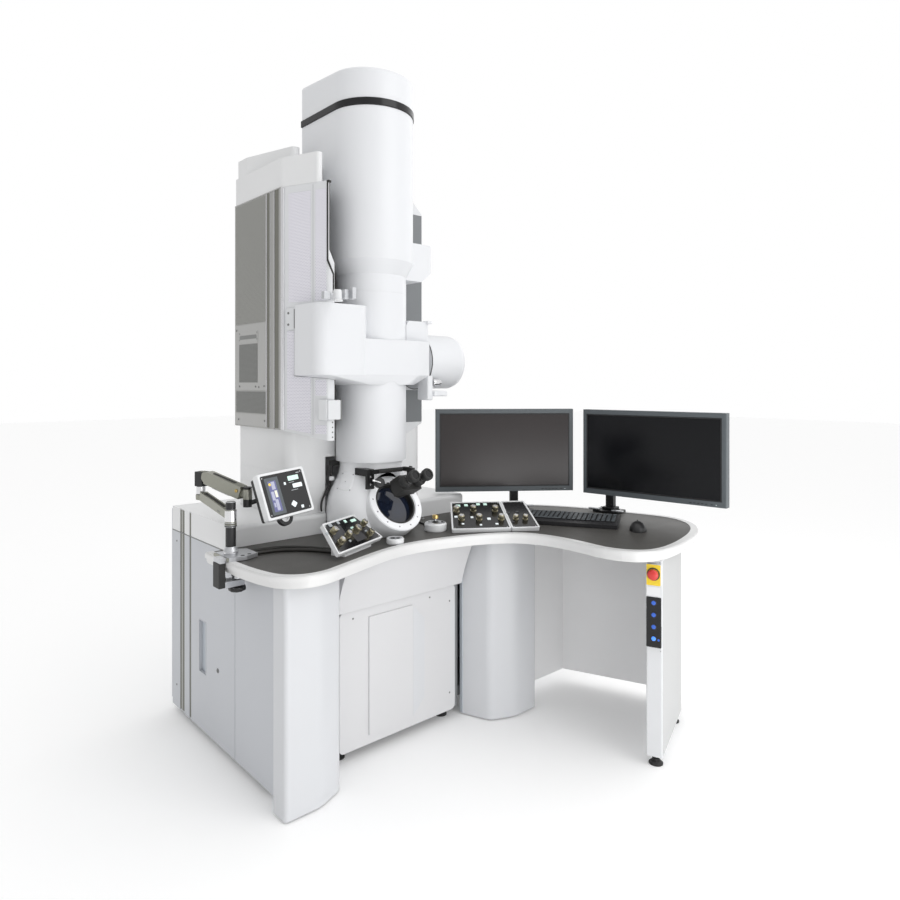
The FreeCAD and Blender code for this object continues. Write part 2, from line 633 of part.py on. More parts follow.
cap_in = prism([(-331, 462, 6), (-331, 392, 34), (-259, 150, 8), (-183, 290, 0), (183, 290, 0), (259, 150, 8),
                (331, 392, 34), (331, 462, 6)], num(D.tower_box_top) - 15, num(D.tower_cap_top) - 6)
top_cover = lower_box.fuse(cap_hi).cut(lower_in.fuse(cap_in)).cut(core)
node(feature(top_cover), "tower_upper_cover")

# ---------------------------------------------------------------- column covers


def upper_outer(shrink, z_lo, z_hi):
    r, R, back = num(D.col_r) - shrink, num(D.upper_r) - shrink, num(D.upper_back) - shrink
    t0, t1 = num(D.taper_low), num(D.taper_high)
    s = Part.makeCylinder(r, t0 - z_lo, Vector(0, 0, z_lo))
    s = s.fuse([Part.makeCone(r, R, t1 - t0, Vector(0, 0, t0)),
                Part.makeCylinder(R, z_hi - t1, Vector(0, 0, t1)),
                Part.makeBox(2 * R, back, z_hi - t1, Vector(-R, 0, t1))])
    return s


z_seam, z_band = num(D.col_seam), num(D.band_low)
uo = upper_outer(0, z_seam + .3, z_band)
uo = uo.fuse(boss_solid(0)).removeSplitter()
ui = upper_outer(num(D.upper_wall), z_seam - 5, z_band + 5)
boss_in = Part.makeBox(104, 106, 92, Vector(144, -68, boss_z[0] + 52))
node(feature(uo.cut(ui).cut(boss_in)), "column_upper_cover")


def dee(r, back, z_a, z_b):
    return Part.makeCylinder(r, z_b - z_a, Vector(0, 0, z_a)).fuse(
        Part.makeBox(2 * r, back, z_b - z_a, Vector(-r, 0, z_a))).removeSplitter()


band = dee(num(D.band_r), num(D.upper_back) + 3, z_band + .3, num(D.band_high) - .3)
band = band.makeFillet(3, [e for e in band.Edges if e.BoundBox.ZLength < .01])
band = band.cut(dee(158, 240, z_band - 5, num(D.band_high) + 5))
node(feature(band), "column_band")

cap = dee(num(D.upper_r), num(D.upper_back), num(D.band_high), num(D.cap_back) + 20)
slope = Part.Face(Part.makePolygon([
    Vector(-400, -num(D.upper_r) - 1, num(D.cap_front)), Vector(-400, num(D.upper_back) + 1, num(D.cap_back)),
    Vector(-400, num(D.upper_back) + 1, 2700), Vector(-400, -num(D.upper_r) - 1, 2700),
    Vector(-400, -num(D.upper_r) - 1, num(D.cap_front))])).extrude(Vector(800, 0, 0))
cap = cap.cut(slope)
try:
    cap = cap.makeFillet(16, [e for e in cap.Edges if e.BoundBox.ZMin > num(D.cap_front) - 5])
except Exception as error:
    print("cap fillet", error)
cap_core = dee(num(D.upper_r) - 7, num(D.upper_back) - 7, num(D.band_high) - 5, num(D.cap_front) - 24)
node(feature(cap.cut(cap_core)), "column_cap")

lc_wall = revolved([(D.col_r - D.col_wall, D.col_low), (D.col_r, D.col_low), (D.col_r, D.col_seam),
                    (D.col_r - D.col_wall, D.col_seam)])
hole_x = cyl(80, 0, D.stage_z, 60, 90, RX)
node(cut(lc_wall, hole_x), "column_lower_cover")

# goniometer's pull-off cover: a rounded cup over the specimen rod
cup = revolved([(92, 0), (D.stage_r, 0), (D.stage_r, 172), (D.stage_r - 6, 190),
                (D.stage_r - 18, 202), (D.stage_r - 36, 208), (0, 208), (0, 200), (D.stage_r - 38, 200),
                (D.stage_r - 22, 196), (D.stage_r - 10, 184), (D.stage_r - 6, 170), (D.stage_r - 6, 6), (92, 6)],
               222, 0, D.stage_z, RX)
node(cup, "gonio_cover")

# specimen rod with its stage barrel, turned, along X
rod = revolved([(0, 0), (4, 0), (4, 100), (12, 112), (26, 118), (26, 165), (38, 170), (38, 210), (20, 222),
                (20, 240), (0, 240)], 48, 0, D.stage_z, RX)
node(rod, "specimen_holder")

# vacuum column: gun, accelerator, lens stack and camera chamber, bolted end to end
column = revolved([(0, 100), (95, 100), (95, 700), (80, 705), (80, 770), (95, 776), (95, 1040), (110, 1048),
                   (110, 1320), (90, 1326), (90, 1380), (60, 1384), (60, 1500), (90, 1504), (90, 1560),
                   (112, 1566), (112, 1690), (100, 1700), (100, 1830), (128, 1840), (128, 2330), (70, 2360),
                   (70, 2410), (0, 2410)])
stage_bore = cyl(0, 0, D.stage_z, 4.3, 130, RX)
stage_slot = cyl(0, 0, 880, 70, 300, Rotation(Vector(1, 0, 0), 55))
node(cut(column, stage_bore, stage_slot), "electron_column")

# ---------------------------------------------------------------- viewing chamber
wt = math.radians(num(D.window_tilt))
WN = Vector(0, -math.cos(wt), math.sin(wt))
WC = Vector(0, num(D.window_y), num(D.window_z))
WR = Rotation(Vector(0, 0, 1), WN)


def bulb(shrink):
    prof = [(num(D.neck_r), 1046), (num(D.neck_r), 1012), (num(D.neck_r) + 8, 985), (151, 950), (169, 905),
            (num(D.chamber_r), 858), (num(D.chamber_r), 812), (num(D.chamber_r) - 8, 786), (150, 767.3)]
    prof = [(r - shrink, z) for r, z in prof]
    c = Part.BSplineCurve()
    c.interpolate([Vector(r, 0, z) for r, z in prof])
    edges = [c.toShape(), Part.LineSegment(Vector(prof[-1][0], 0, prof[-1][1]), Vector(0, 0, prof[-1][1])).toShape(),
             Part.LineSegment(Vector(0, 0, prof[-1][1]), Vector(0, 0, prof[0][1])).toShape(),
             Part.LineSegment(Vector(0, 0, prof[0][1]), Vector(prof[0][0], 0, prof[0][1])).toShape()]
    return Part.Face(Part.Wire(edges)).revolve(Vector(0, 0, 0), Vector(0, 0, 1), 360)


body = bulb(0)
body = Part.Solid(body) if body.ShapeType != "Solid" else body
fr = num(D.window_flange_r)
body = body.fuse(Part.makeCylinder(fr, 110, WC - WN * 96, WN)).removeSplitter()
body = body.cut(Part.makeCylinder(fr + 3, 120, WC + WN * 14, WN))
inner = Part.makeCylinder(150, 140, Vector(0, 0, 790)).fuse(Part.makeCylinder(112, 130, Vector(0, 0, 925)))
body = body.cut(inner).cut(Part.makeCylinder(98, 500, Vector(0, 0, 700)))
body = body.cut(Part.makeCylinder(num(D.window_r), 140, WC - WN * 120, WN))
body = body.cut(Part.makeCylinder(fr - 12, 3, WC + WN * 11, WN).cut(Part.makeCylinder(fr - 16, 3, WC + WN * 11, WN)))
body = body.common(Part.makeBox(800, 800, 279, Vector(-400, -400, 767.3)))
body = body.cut(Part.makeCylinder(112, 400, Vector(0, 0, 1000)))
chamber = sorted(body.Solids, key=lambda q: -q.Volume)[0]
node(feature(chamber), "viewing_chamber")

glass = cyl(WC.x - WN.x * 28, WC.y - WN.y * 28, WC.z - WN.z * 28, D.window_r - .3, 14, WR)
node(glass, "viewing_glass")

# bracket on the neck and the swing-away binocular in front of the window
br = Part.makeBox(32, 12, 74, Vector(-118, -141, 952)).fuse([
    Part.makeBox(144, 10, 16, Vector(-100, -147, 1008)), Part.makeBox(32, 71, 26, Vector(-118, -131, 1000)),
    Part.makeCylinder(4, 42, Vector(44, -142, 1016), Vector(1, 0, 0)), Part.makeBox(6, 14, 16, Vector(86, -148, 1008))])
br = sorted(br.cut(chamber).cut(Part.makeCylinder(115, 400, Vector(0, 0, 800))).Solids, key=lambda q: -q.Volume)[0]
node(feature(br), "binocular_bracket")

BD = Vector(0, -0.89, 0.456).normalize()
BU = Rotation(Vector(0, 0, 1), BD)
pivot = Vector(65, -142, 1016)
prism_box = feature(Part.makeBox(88, 60, 62, Vector(-44, -30, 0)))
prism_box.Placement = Placement(Vector(0, -196, 953), BU)
eye = []
tube = revolved([(0, 0), (32, 0), (32, 26), (26, 32), (26, 60), (0, 60)], 0, -196 + BD.y * -22, 953 + BD.z * -22, BU)
for s in (-1, 1):
    b = Vector(s * 31, -196, 953) + BD * 58
    eye.append(revolved([(0, 0), (21, 0), (21, 34), (17, 38), (17, 62), (20, 66), (20, 74), (15, 80), (0, 80)],
                        b.x, b.y, b.z, BU))
hang = feature(Part.makeBox(14, 60, 16, Vector(52, -196, 1008)).fuse(
    Part.makeBox(14, 40, 66, Vector(52, -204, 950))).fuse(
    Part.makeBox(30, 20, 20, Vector(36, -204, 950))).cut(
    Part.makeCylinder(4.3, 60, Vector(40, -142, 1016), Vector(1, 0, 0))))
node(fuse(prism_box, tube, eye[0], eye[1], hang), "binocular")

# ---------------------------------------------------------------- display arm
px, py = D.post_x, D.post_y
clamp_top = feature(prism([(-648, -12, 6), (-648, -120, 6), (-590, -132, 6), (-541, -112, 4), (-541, -30, 4),
                           (-575, -12, 4)], num(D.desk_z) + 2.2, num(D.desk_z) + 14))
clamp_tongue = box(px - 60, px - 30, -112, -66, D.desk_z + 2.2, D.desk_z + 14)
clamp_back = box(px - 60, px - 41, -112, -66, 684, D.desk_z + 14)
clamp_low = box(px - 60, px + 25, -112, -70, 684, 703)
screw = revolved([(0, 664), (23, 664), (27, 668), (27, 676), (22, 681), (8, 682), (8, 706), (20, 706), (20, 715), (0, 715)],
                 px + 10, py - 28, 0)
collar = revolved([(0, 776), (24, 776), (24, 792), (17, 806), (D.post_r, 806), (D.post_r, 870), (19, 871),
                   (19, 885.6), (10, 885.6), (10, 928), (15.5, 928), (15.5, 953), (13.5, 955), (0, 955)], px, py, 0)
node(fuse(clamp_top, clamp_tongue, clamp_back, clamp_low, screw, collar), "arm_clamp_post")

# lower arm: bored hub on the post, rising channel beam, upright spigot for the elbow
hub = cyl(px, py, 886, 18.5, 41.6)
side_face = Part.Face(Part.makePolygon([Vector(-628, -56, 897), Vector(-628, -56, 925), Vector(-628, 168, 962),
                                        Vector(-628, 186, 962), Vector(-628, 186, 931), Vector(-628, 166, 931),
                                        Vector(-628, -56, 897)]))
beam = feature(side_face.extrude(Vector(26, 0, 0)))
up = cyl(px, D.elbow_y, 931, 17, 19)
pin = cyl(px, D.elbow_y, 948, 9, 22)
slot_face = Part.Face(Part.makePolygon([Vector(-622, -20, 912), Vector(-622, -20, 990), Vector(-622, 150, 990),
                                        Vector(-622, 150, 940), Vector(-622, -20, 912)]))
channel = feature(slot_face.extrude(Vector(14, 0, 0)))
top_clear = cyl(px, D.elbow_y, 950, 26, 30)
arm_low = fuse(cut(cut(fuse(hub, beam, up), channel, top_clear), cyl(px, py, 870, 10.3, 90)), pin)
node(arm_low, "arm_lower")

DC = Vector(-449.2, -133.7, 974.7)
yaw, pitch, roll = 0.115, 0.360, 0.077
DN = Vector(math.sin(yaw) * math.cos(pitch), -math.cos(yaw) * math.cos(pitch), math.sin(pitch))
tip = Vector(-535, -20, 966)
swing = math.atan2(tip.x - num(px), -(tip.y - num(D.elbow_y)))
elbow = fuse(cut(fuse(cyl(0, 0, 950.4, 15, 33), box(-17, 17, -22, 13, 980, 1032)),
                 cyl(0, 0, 900, 9.3, 76), box(-10.5, 10.5, -60, 7, 988, 1060)),
             cyl(-17, -8, 1022, 4, 34, RX))
place(elbow, px, D.elbow_y, 0, Rotation(Vector(0, 0, 1), math.degrees(swing)))
ELB = (num(px) + 8 * math.sin(swing), num(D.elbow_y) - 8 * math.cos(swing), 1022.0)
node(elbow, "arm_elbow")

# upper arm: from the elbow pin down to the display bracket
R0 = Vector(math.cos(yaw), math.sin(yaw), 0)
U0 = R0.cross(DN * -1)
if U0.z < 0:
    U0 = U0 * -1
DR = R0 * math.cos(roll) + U0 * math.sin(roll)
DU = U0 * math.cos(roll) - R0 * math.sin(roll)
start = Vector(*ELB)
direction = tip - start
length = direction.Length
direction.normalize()
side = direction.cross(Vector(0, 0, 1)).normalize()
upv = side.cross(direction).normalize()
arm_rot = Rotation(FreeCAD.Matrix(direction.x, -side.x, upv.x, 0, direction.y, -side.y, upv.y, 0,
                                  direction.z, -side.z, upv.z, 0, 0, 0, 0, 1))
head = Part.makeCylinder(12, 20, Vector(0, -10, 0), Vector(0, 1, 0)).fuse([
    Part.makeBox(34, 20, 20, Vector(0, -10, -10)),
    Part.makeBox(26, 20, 24, Vector(length - 30, -10, -12)),
    Part.makeBox(length - 50, 34, 44, Vector(28, -17, -24)).cut(
        Part.makeBox(length - 76, 26, 36, Vector(40, -13, -25)))])
arm = head.cut(Part.makeCylinder(4.3, 60, Vector(0, -30, 0), Vector(0, 1, 0)))
arm.Placement = Placement(start, arm_rot)
bar_at = start + direction * length
knuckle = Part.makeCylinder(16, 34, bar_at - Vector(0, 0, 17))
arm = arm.fuse(knuckle).cut(Part.makeCylinder(11.3, 90, bar_at - Vector(0, 0, 45)))
node(feature(arm), "arm_upper")

# display bracket: upright barrel in the arm's knuckle, collar above, fork arm below
tilt_at = DC - DN * 48
low_at = Vector(bar_at.x, bar_at.y, bar_at.z - 34)
bend_at = tilt_at + Vector(-R0.y, R0.x, 0) * 34
barrel = Part.makeCylinder(11, 48, bar_at - Vector(0, 0, 27)).fuse([
    Part.makeCylinder(15, 5, bar_at + Vector(0, 0, 19.6)),
    Part.makeCylinder(15, bar_at.z - 17.3 - low_at.z + 10, low_at - Vector(0, 0, 10)),
    Part.makeCylinder(8, (bend_at - low_at).Length, low_at, bend_at - low_at), Part.makeSphere(8, bend_at),
    Part.makeCylinder(8, (tilt_at - bend_at).Length, bend_at, tilt_at - bend_at)])
pinr = Part.makeCylinder(5, 60, tilt_at - R0 * 30, R0)
node(feature(barrel.fuse(pinr)), "display_bracket")

face_rot = Rotation(FreeCAD.Matrix(DR.x, DU.x, DN.x, 0, DR.y, DU.y, DN.y, 0, DR.z, DU.z, DN.z, 0, 0, 0, 0, 1))
dw, dh, dt = num(D.display_w), num(D.display_h), num(D.display_t)
case = Part.makeBox(dw, dh, dt, Vector(-dw / 2, -dh / 2, -dt))
case = case.makeFillet(8, [e for e in case.Edges if vertical(e)])
plate_b = Part.makeBox(58, 146, 20, Vector(-88, -76, -dt - 20))
grip = Part.makeCylinder(26, 14, Vector(-10, -dh / 2 + 4, -dt - 14)).cut(
    Part.makeCylinder(14, 20, Vector(-10, -dh / 2 + 4, -dt - 16)))
case = case.fuse([plate_b, grip])
case.Placement = Placement(DC, face_rot)
ears = []
for t in (-1, 1):
    c0 = tilt_at + R0 * (t * 17)
    e = Part.makeBox(8, 34, 20, Vector(-4, 0, -10))
    m = Rotation(FreeCAD.Matrix(R0.x, DN.x, -U0.x, 0, R0.y, DN.y, -U0.y, 0, R0.z, DN.z, -U0.z, 0, 0, 0, 0, 1))
    e.Placement = Placement(c0 + DN * (-10), m)
    ears.append(e)
case = case.fuse(ears).cut(Part.makeCylinder(5.3, 80, tilt_at - R0 * 40, R0))
node(feature(case), "display_unit")

# ---------------------------------------------------------------- monitors
MON = {"left": (Vector(688, -81, 0), Vector(0.796, -0.605, 0), 57.4),
       "right": (Vector(969, -655, 0), Vector(0.139, -0.990, 0), -231.3)}
stands = []
for key, (mc, md, sx) in MON.items():
    md = md.normalize()
    back_n = Vector(-md.y, md.x, 0)          # behind the screen
    rotm = Rotation(FreeCAD.Matrix(md.x, back_n.x, 0, 0, md.y, back_n.y, 0, 0, 0, 0, 1, 0, 0, 0, 0, 1))
    mw, mh, mt, ml = num(D.mon_w), num(D.mon_h), num(D.mon_t), num(D.mon_low)
    pz, top = 1043, num(D.desk_z) + 2.3
    base = Part.makeBox(124, 96, 8, Vector(sx - 62, 36, top))
    base = base.makeFillet(12, [e for e in base.Edges if vertical(e)])
    post = Part.makeBox(36, 26, pz + 17 - top, Vector(sx - 18, 87, top))
    lo, hi = (-27, sx) if sx > 0 else (sx, 27)
    bar = Part.makeBox(hi - lo, 24, 30, Vector(lo, 88, pz - 15))
    fork = [Part.makeBox(10, 50, 30, Vector(x, 51, pz - 15)) for x in (-27, 17)]
    pin = Part.makeCylinder(5, 54, Vector(-27, 62, pz), Vector(1, 0, 0))
    st = base.fuse([post, bar, pin] + fork)
    stands.append(place(feature(st), mc.x, mc.y, 0, rotm))
    panel = Part.makeBox(mw, mt, mh, Vector(-mw / 2, 0, ml))
    panel = panel.makeFillet(4, [e for e in panel.Edges if vertical(e)])
    panel = panel.cut(Part.makeBox(mw - 38, 2.5, mh - 42, Vector(-mw / 2 + 19, -.5, ml + 23)))
    lug = Part.makeBox(32, 34, 28, Vector(-16, mt - 1, pz - 14)).cut(
        Part.makeCylinder(5.3, 60, Vector(-30, 62, pz), Vector(1, 0, 0)))
    scr = place(feature(panel.fuse(lug)), mc.x, mc.y, 0, rotm)
    node(scr, "monitor_" + key)
node(group(*stands), "monitor_stands")

# ---------------------------------------------------------------- things on the desk
dz = num(D.desk_z)


def frame_on(cx_, cy_, cz_, xdir, tilt):
    """Rotation whose X runs along xdir and whose Z leans towards the sitter."""
    x = Vector(xdir[0], xdir[1], 0).normalize()
    y = Vector(-x.y, x.x, 0)
    tl = math.radians(tilt)
    z = Vector(0, 0, 1) * math.cos(tl) - y * math.sin(tl)
    yy = y * math.cos(tl) + Vector(0, 0, 1) * math.sin(tl)
    return Placement(Vector(cx_, cy_, cz_), Rotation(FreeCAD.Matrix(
        x.x, yy.x, z.x, 0, x.y, yy.y, z.y, 0, x.z, yy.z, z.z, 0, 0, 0, 0, 1)))


KNOBS = []
KNOBS_LEFT = [(-82, 22), (-88, -24), (-30, -10), (28, -4), (96, 12), (88, -32)]
KNOBS_MAIN = [(-140, 32), (-70, 35), (19, 30), (-128, -34), (-57, -34), (32, -38)]
KNOBS_AUX = [(91, -38), (130, -40)]


def control_box(front_at, yaw, tilt, width, narrow, depth, z_front, splits=None):
    """Tilted console: trapezoid panel case, narrower at its back, on a wedge foot."""
    t = math.radians(tilt)
    x = Vector(math.cos(math.radians(yaw)), math.sin(math.radians(yaw)), 0)
    back = Vector(-x.y, x.x, 0)
    mid = Vector(front_at[0], front_at[1], z_front) + (back * math.cos(t) + Vector(0, 0, math.sin(t))) * (depth / 2)
    fr_ = frame_on(mid.x, mid.y, mid.z, (x.x, x.y), tilt)
    flat = frame_on(front_at[0], front_at[1], dz, (x.x, x.y), 0)
    solids = []

    def at(u, v):
        """Point on the trapezoid: u across from -1 to 1, v from the front edge to the back."""
        half = width / 2 * (1 - (1 - narrow) * v)
        return (u * half, -depth / 2 + v * depth)

    for u0, u1 in (splits or [(-1, 1)]):
        a, b, c, d_ = at(u0, 0), at(u1, 0), at(u1, 1), at(u0, 1)
        top = prism([(a[0], a[1], 6), (b[0], b[1], 6), (c[0], c[1], 6), (d_[0], d_[1], 6)], -16, 0)
        face = Part.Face(wire([(a[0], a[1], 6), (b[0], b[1], 6), (c[0], c[1], 6), (d_[0], d_[1], 6)], -2))
        top = top.cut(face.makeOffset2D(-6).extrude(Vector(0, 0, 6)))
        top.Placement = fr_
        w0, w1 = at(u0, .5)[0] + 22, at(u1, .5)[0] - 22
        w0, w1 = w0 * .86, w1 * .86
        run = depth * math.cos(t)
        foot = Part.makeBox(w1 - w0, run * .56, 400, Vector(w0, run * .16, 0))
        foot.Placement = flat
        lid = Part.makeBox(900, 900, 600, Vector(-450, -450, -8))
        lid.Placement = fr_
        foot = foot.cut(lid)
        solids.append(top.fuse(foot))
    return fr_, solids


def knob(fr_, x, y, name, r=None, hgt=None):
    r = num(D.knob_r) if r is None else r
    hgt = num(D.knob_z) if hgt is None else hgt
    p = fr_.multVec(Vector(x, y, -1.7))
    k = revolved([(0, 0), (r + 1.5, 0), (r + 1.5, 4), (r - 2, 5.5), (r - 2, 8), (r, 9), (r, hgt + 4), (r - 1.5, hgt + 5.5),
                  (0, hgt + 5.5)], p.x, p.y, p.z, fr_.Rotation)
    node(k, name)
    KNOBS.append((name, p, fr_.Rotation.multVec(Vector(0, 0, 1))))


# left box: turned towards the sitter
FL, solids = control_box((-242, -289), 23.4, 40.2, 286, 0.68, 128, 790)
node(feature(solids[0]), "control_box_left")
for i, (kx, ky) in enumerate(KNOBS_LEFT):
    knob(FL, kx, ky, "knob_left_%d" % (i + 1), 10.5 if i != 3 else 13, 17 if i != 3 else 21)

FLAT = frame_on(-242, -289, dz + num(D.cord_r) + .3, (math.cos(math.radians(23.4)), math.sin(math.radians(23.4))), 0)
FL_RUN = 128 * math.cos(math.radians(40.2))

# right boxes: main and auxiliary, one frame, a hairline gap between them
FR, solids = control_box((327, -379), -34.4, 20, 350, 0.89, 210, 783, [(-1, .345), (.355, 1)])
node(group(*[feature(q) for q in solids]), "control_box_right")
for i, (kx, ky) in enumerate(KNOBS_MAIN):
    knob(FR, kx, ky, "knob_main_%d" % (i + 1), 11.5, 18)
for i, (kx, ky) in enumerate(KNOBS_AUX):
    knob(FR, kx, ky, "knob_aux_%d" % (i + 1), 10, 15)

# two round pods: the joystick's and the small key pod beside the chamber
jx, jy = 176, -190
POD2 = (-78, -261)
pod_gland = box(-6, 6, 36, 61, 0, 10)
place(pod_gland, jx, jy, dz, Rotation(Vector(0, 0, 1), -18))
pod_gland.setExpression("Placement.Base.x", None)
pod = revolved([(0, 0), (42, 0), (44, 4), (44, 26), (40, 32), (17, 32), (14, 20), (0, 20)], jx, jy, dz)
pod2 = revolved([(0, 0), (30, 0), (32, 4), (32, 17), (30, 20), (25, 20), (25, 18), (0, 18)], POD2[0], POD2[1], dz)
gland_rot = Rotation(Vector(0, 0, 1), -18)
gland_out = Vector(jx, jy, 0) + gland_rot.multVec(Vector(0, 61, 0))
node(group(fuse(pod, pod_gland), pod2), "control_pods")
stick = revolved([(0, 24.4), (9, 24.4), (9, 30), (4, 34), (4, 44), (12, 48), (12, 60), (0, 62)], jx, jy, dz)
node(stick, "joystick")

# keyboard, keys as one moulded field, and mouse
kb = Part.makeBox(440, 172, 14, Vector(-220, -102, 0))
kb = kb.makeFillet(4, [e for e in kb.Edges if vertical(e)])
keys = []
for row in range(6):
    for col in range(21):
        if row == 0 and 4 <= col <= 9:
            continue
        k = Part.makeBox(17, 16, 5.5, Vector(-207 + col * 19.8, -60 + row * 20.2, 13.5))
        keys.append(k)
keys.append(Part.makeBox(116, 16, 5.5, Vector(-207 + 4 * 19.8, -60, 13.5)))
kb = kb.fuse(keys)
kb.Placement = frame_on(700, -424, dz + 9, (0.494, -0.869), 4)
kb_feet = Part.makeBox(420, 130, 10, Vector(-210, -85, 0))
kb_feet.Placement = frame_on(700, -424, dz, (0.494, -0.869), 0)
kb = kb.fuse(kb_feet)
node(feature(kb), "keyboard")

ms = Part.makeSphere(60)
m = FreeCAD.Matrix()
m.scale(0.55, 0.95, 0.6)
ms = ms.transformGeometry(m).common(Part.makeBox(200, 200, 100, Vector(-100, -100, 0)))
node(place(feature(ms), 775, -724, D.desk_z, frame_on(0, 0, 0, (0.6, -0.8), 0).Rotation), "mouse")


# ---------------------------------------------------------------- cords
def cord(points, r, name):
    pts = [Vector(*p) for p in points]
    n = len(pts)
    run = [(pts[i + 1] - pts[i]).Length for i in range(n - 1)]
    edges, last, total, radii = [], pts[0], 0.0, []
    for i in range(1, n - 1):
        a = (pts[i - 1] - pts[i]).normalize()
        b = (pts[i + 1] - pts[i]).normalize()
        turn = math.pi - math.acos(max(-1, min(1, a.dot(b))))
        d = 0.45 * min(run[i - 1], run[i])
        rad = d / math.tan(turn / 2)
        radii.append(rad)
        p, q = pts[i] + a * d, pts[i] + b * d
        mid = pts[i] + (a + b).normalize() * (rad / math.cos(turn / 2) - rad)
        edges.append(Part.LineSegment(last, p).toShape())
        edges.append(Part.Arc(p, mid, q).toShape())
        last = q
    edges.append(Part.LineSegment(last, pts[-1]).toShape())
    path = Part.Wire(edges)
    t0 = (pts[1] - pts[0]).normalize()
    circle = Part.Wire(Part.makeCircle(r, pts[0], t0))
    shell = path.makePipeShell([circle], True, True)
    solid = shell if shell.ShapeType == "Solid" else Part.Solid(shell)
    want = math.pi * r * r * path.Length
    print("cord %-16s length %.1f radii %.0f..%.0f runs %.0f..%.0f volume %.0f against %.0f" % (
        name, path.Length, min(radii), max(radii), min(run), max(run), solid.Volume, want))
    node(feature(solid), name)


cz = dz + num(D.cord_r) + 0.3
cord([(-541, -48, cz), (-496, -48, cz), (-446, -58, cz), (-402, -84, cz), (-368, -124, cz),
      tuple(FLAT.multVec(Vector(-36, FL_RUN * .72 + 60, 0))), tuple(FLAT.multVec(Vector(-36, FL_RUN * .72, 0)))],
     num(D.cord_r), "cable_left_back")
cord([(-541, -84, cz), (-500, -84, cz), (-456, -97, cz), (-416, -124, cz), (-381, -160, cz),
      tuple(FLAT.multVec(Vector(-64, FL_RUN * .72 + 46, 0))), tuple(FLAT.multVec(Vector(-64, FL_RUN * .72, 0)))],
     num(D.cord_r), "cable_left_front")
gz = cz - 2
g1 = gland_out + gland_rot.multVec(Vector(0, 28, 0))
cord([(gland_out.x, gland_out.y, gz), (g1.x, g1.y, gz), (213, -64, gz), (216.5, -22, gz),
      (214, 20, gz), (214, D.cab_cover_front.v, gz)], 4, "joystick_cable")

# ---------------------------------------------------------------- output
doc.recompute()
bad = [o.Name for o in doc.Objects if "Invalid" in o.State or "Error" in o.State]
if bad:
    raise RuntimeError("failed objects: %s" % bad)
os.makedirs("parts", exist_ok=True)
labels = [o.Label for o in NODES]
assert len(labels) == len(set(labels)) and len(labels) <= 60, len(labels)
for old in os.listdir("parts"):
    if old.endswith(".step") and old[:-5] not in labels:
        os.remove(os.path.join("parts", old))
total = FreeCAD.BoundBox()
for o in NODES:
    if o.Shape.isNull() or not o.Shape.isValid():
        raise RuntimeError("bad shape: " + o.Label)
    total.add(o.Shape.BoundBox)
    o.Shape.exportStep("parts/%s.step" % o.Label)
print("%d nodes, box %.1f..%.1f  %.1f..%.1f  %.1f..%.1f" % (
    len(NODES), total.XMin, total.XMax, total.YMin, total.YMax, total.ZMin, total.ZMax))
print("display", DC, DN, R0, "tilt axis", tilt_at, "bar", bar_at, "elbow", ELB)
for name, p, axis in KNOBS:
    print("knob", name, p, axis)
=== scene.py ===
import bpy
import bmesh
import json
import math
import random
from mathutils import Vector, Matrix

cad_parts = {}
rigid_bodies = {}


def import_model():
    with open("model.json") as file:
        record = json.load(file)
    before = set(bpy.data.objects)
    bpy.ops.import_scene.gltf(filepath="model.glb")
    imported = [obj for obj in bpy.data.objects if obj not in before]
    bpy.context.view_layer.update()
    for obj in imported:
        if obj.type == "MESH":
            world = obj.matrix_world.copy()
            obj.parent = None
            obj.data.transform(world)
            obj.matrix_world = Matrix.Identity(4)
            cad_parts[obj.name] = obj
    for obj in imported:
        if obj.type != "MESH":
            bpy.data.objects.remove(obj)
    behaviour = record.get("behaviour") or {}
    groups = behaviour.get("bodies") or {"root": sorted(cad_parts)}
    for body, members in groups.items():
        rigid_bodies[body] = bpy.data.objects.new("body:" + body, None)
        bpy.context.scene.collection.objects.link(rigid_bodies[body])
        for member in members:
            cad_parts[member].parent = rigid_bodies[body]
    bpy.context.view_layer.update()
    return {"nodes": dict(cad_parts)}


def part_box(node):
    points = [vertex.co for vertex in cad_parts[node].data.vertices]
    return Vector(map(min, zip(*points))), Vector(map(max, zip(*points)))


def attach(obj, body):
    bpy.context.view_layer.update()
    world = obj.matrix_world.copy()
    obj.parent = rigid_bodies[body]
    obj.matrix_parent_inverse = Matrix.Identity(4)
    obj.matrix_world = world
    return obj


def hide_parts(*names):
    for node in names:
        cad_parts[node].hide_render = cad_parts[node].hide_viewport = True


for o in list(bpy.data.objects):
    bpy.data.objects.remove(o, do_unlink=True)

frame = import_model()
NODES = frame["nodes"]
random.seed(7)

# Working coordinates below are millimetres round the column's axis; P() turns them
# into the row's frame in metres.
OX, OY = 222.1, -159.3


def P(x, y, z):
    return Vector(((x - OX) / 1000, (y - OY) / 1000, z / 1000))


def V(*a):
    return Vector(a)


# ------------------------------------------------------------------ camera
cam_data = bpy.data.cameras.new("Camera")
cam_data.lens = 27.72
cam_data.sensor_width = 36
cam_data.shift_y = -0.0744
cam = bpy.data.objects.new("Camera", cam_data)
bpy.context.scene.collection.objects.link(cam)
cam.location = P(-1612, -2273, 1350)
cam.rotation_euler = (math.radians(90), 0, math.radians(-41.84))
bpy.context.scene.camera = cam
cam_data.clip_end = 60

# ------------------------------------------------------------------ materials
MATS = {}


def mat(name):
    return MATS[name]


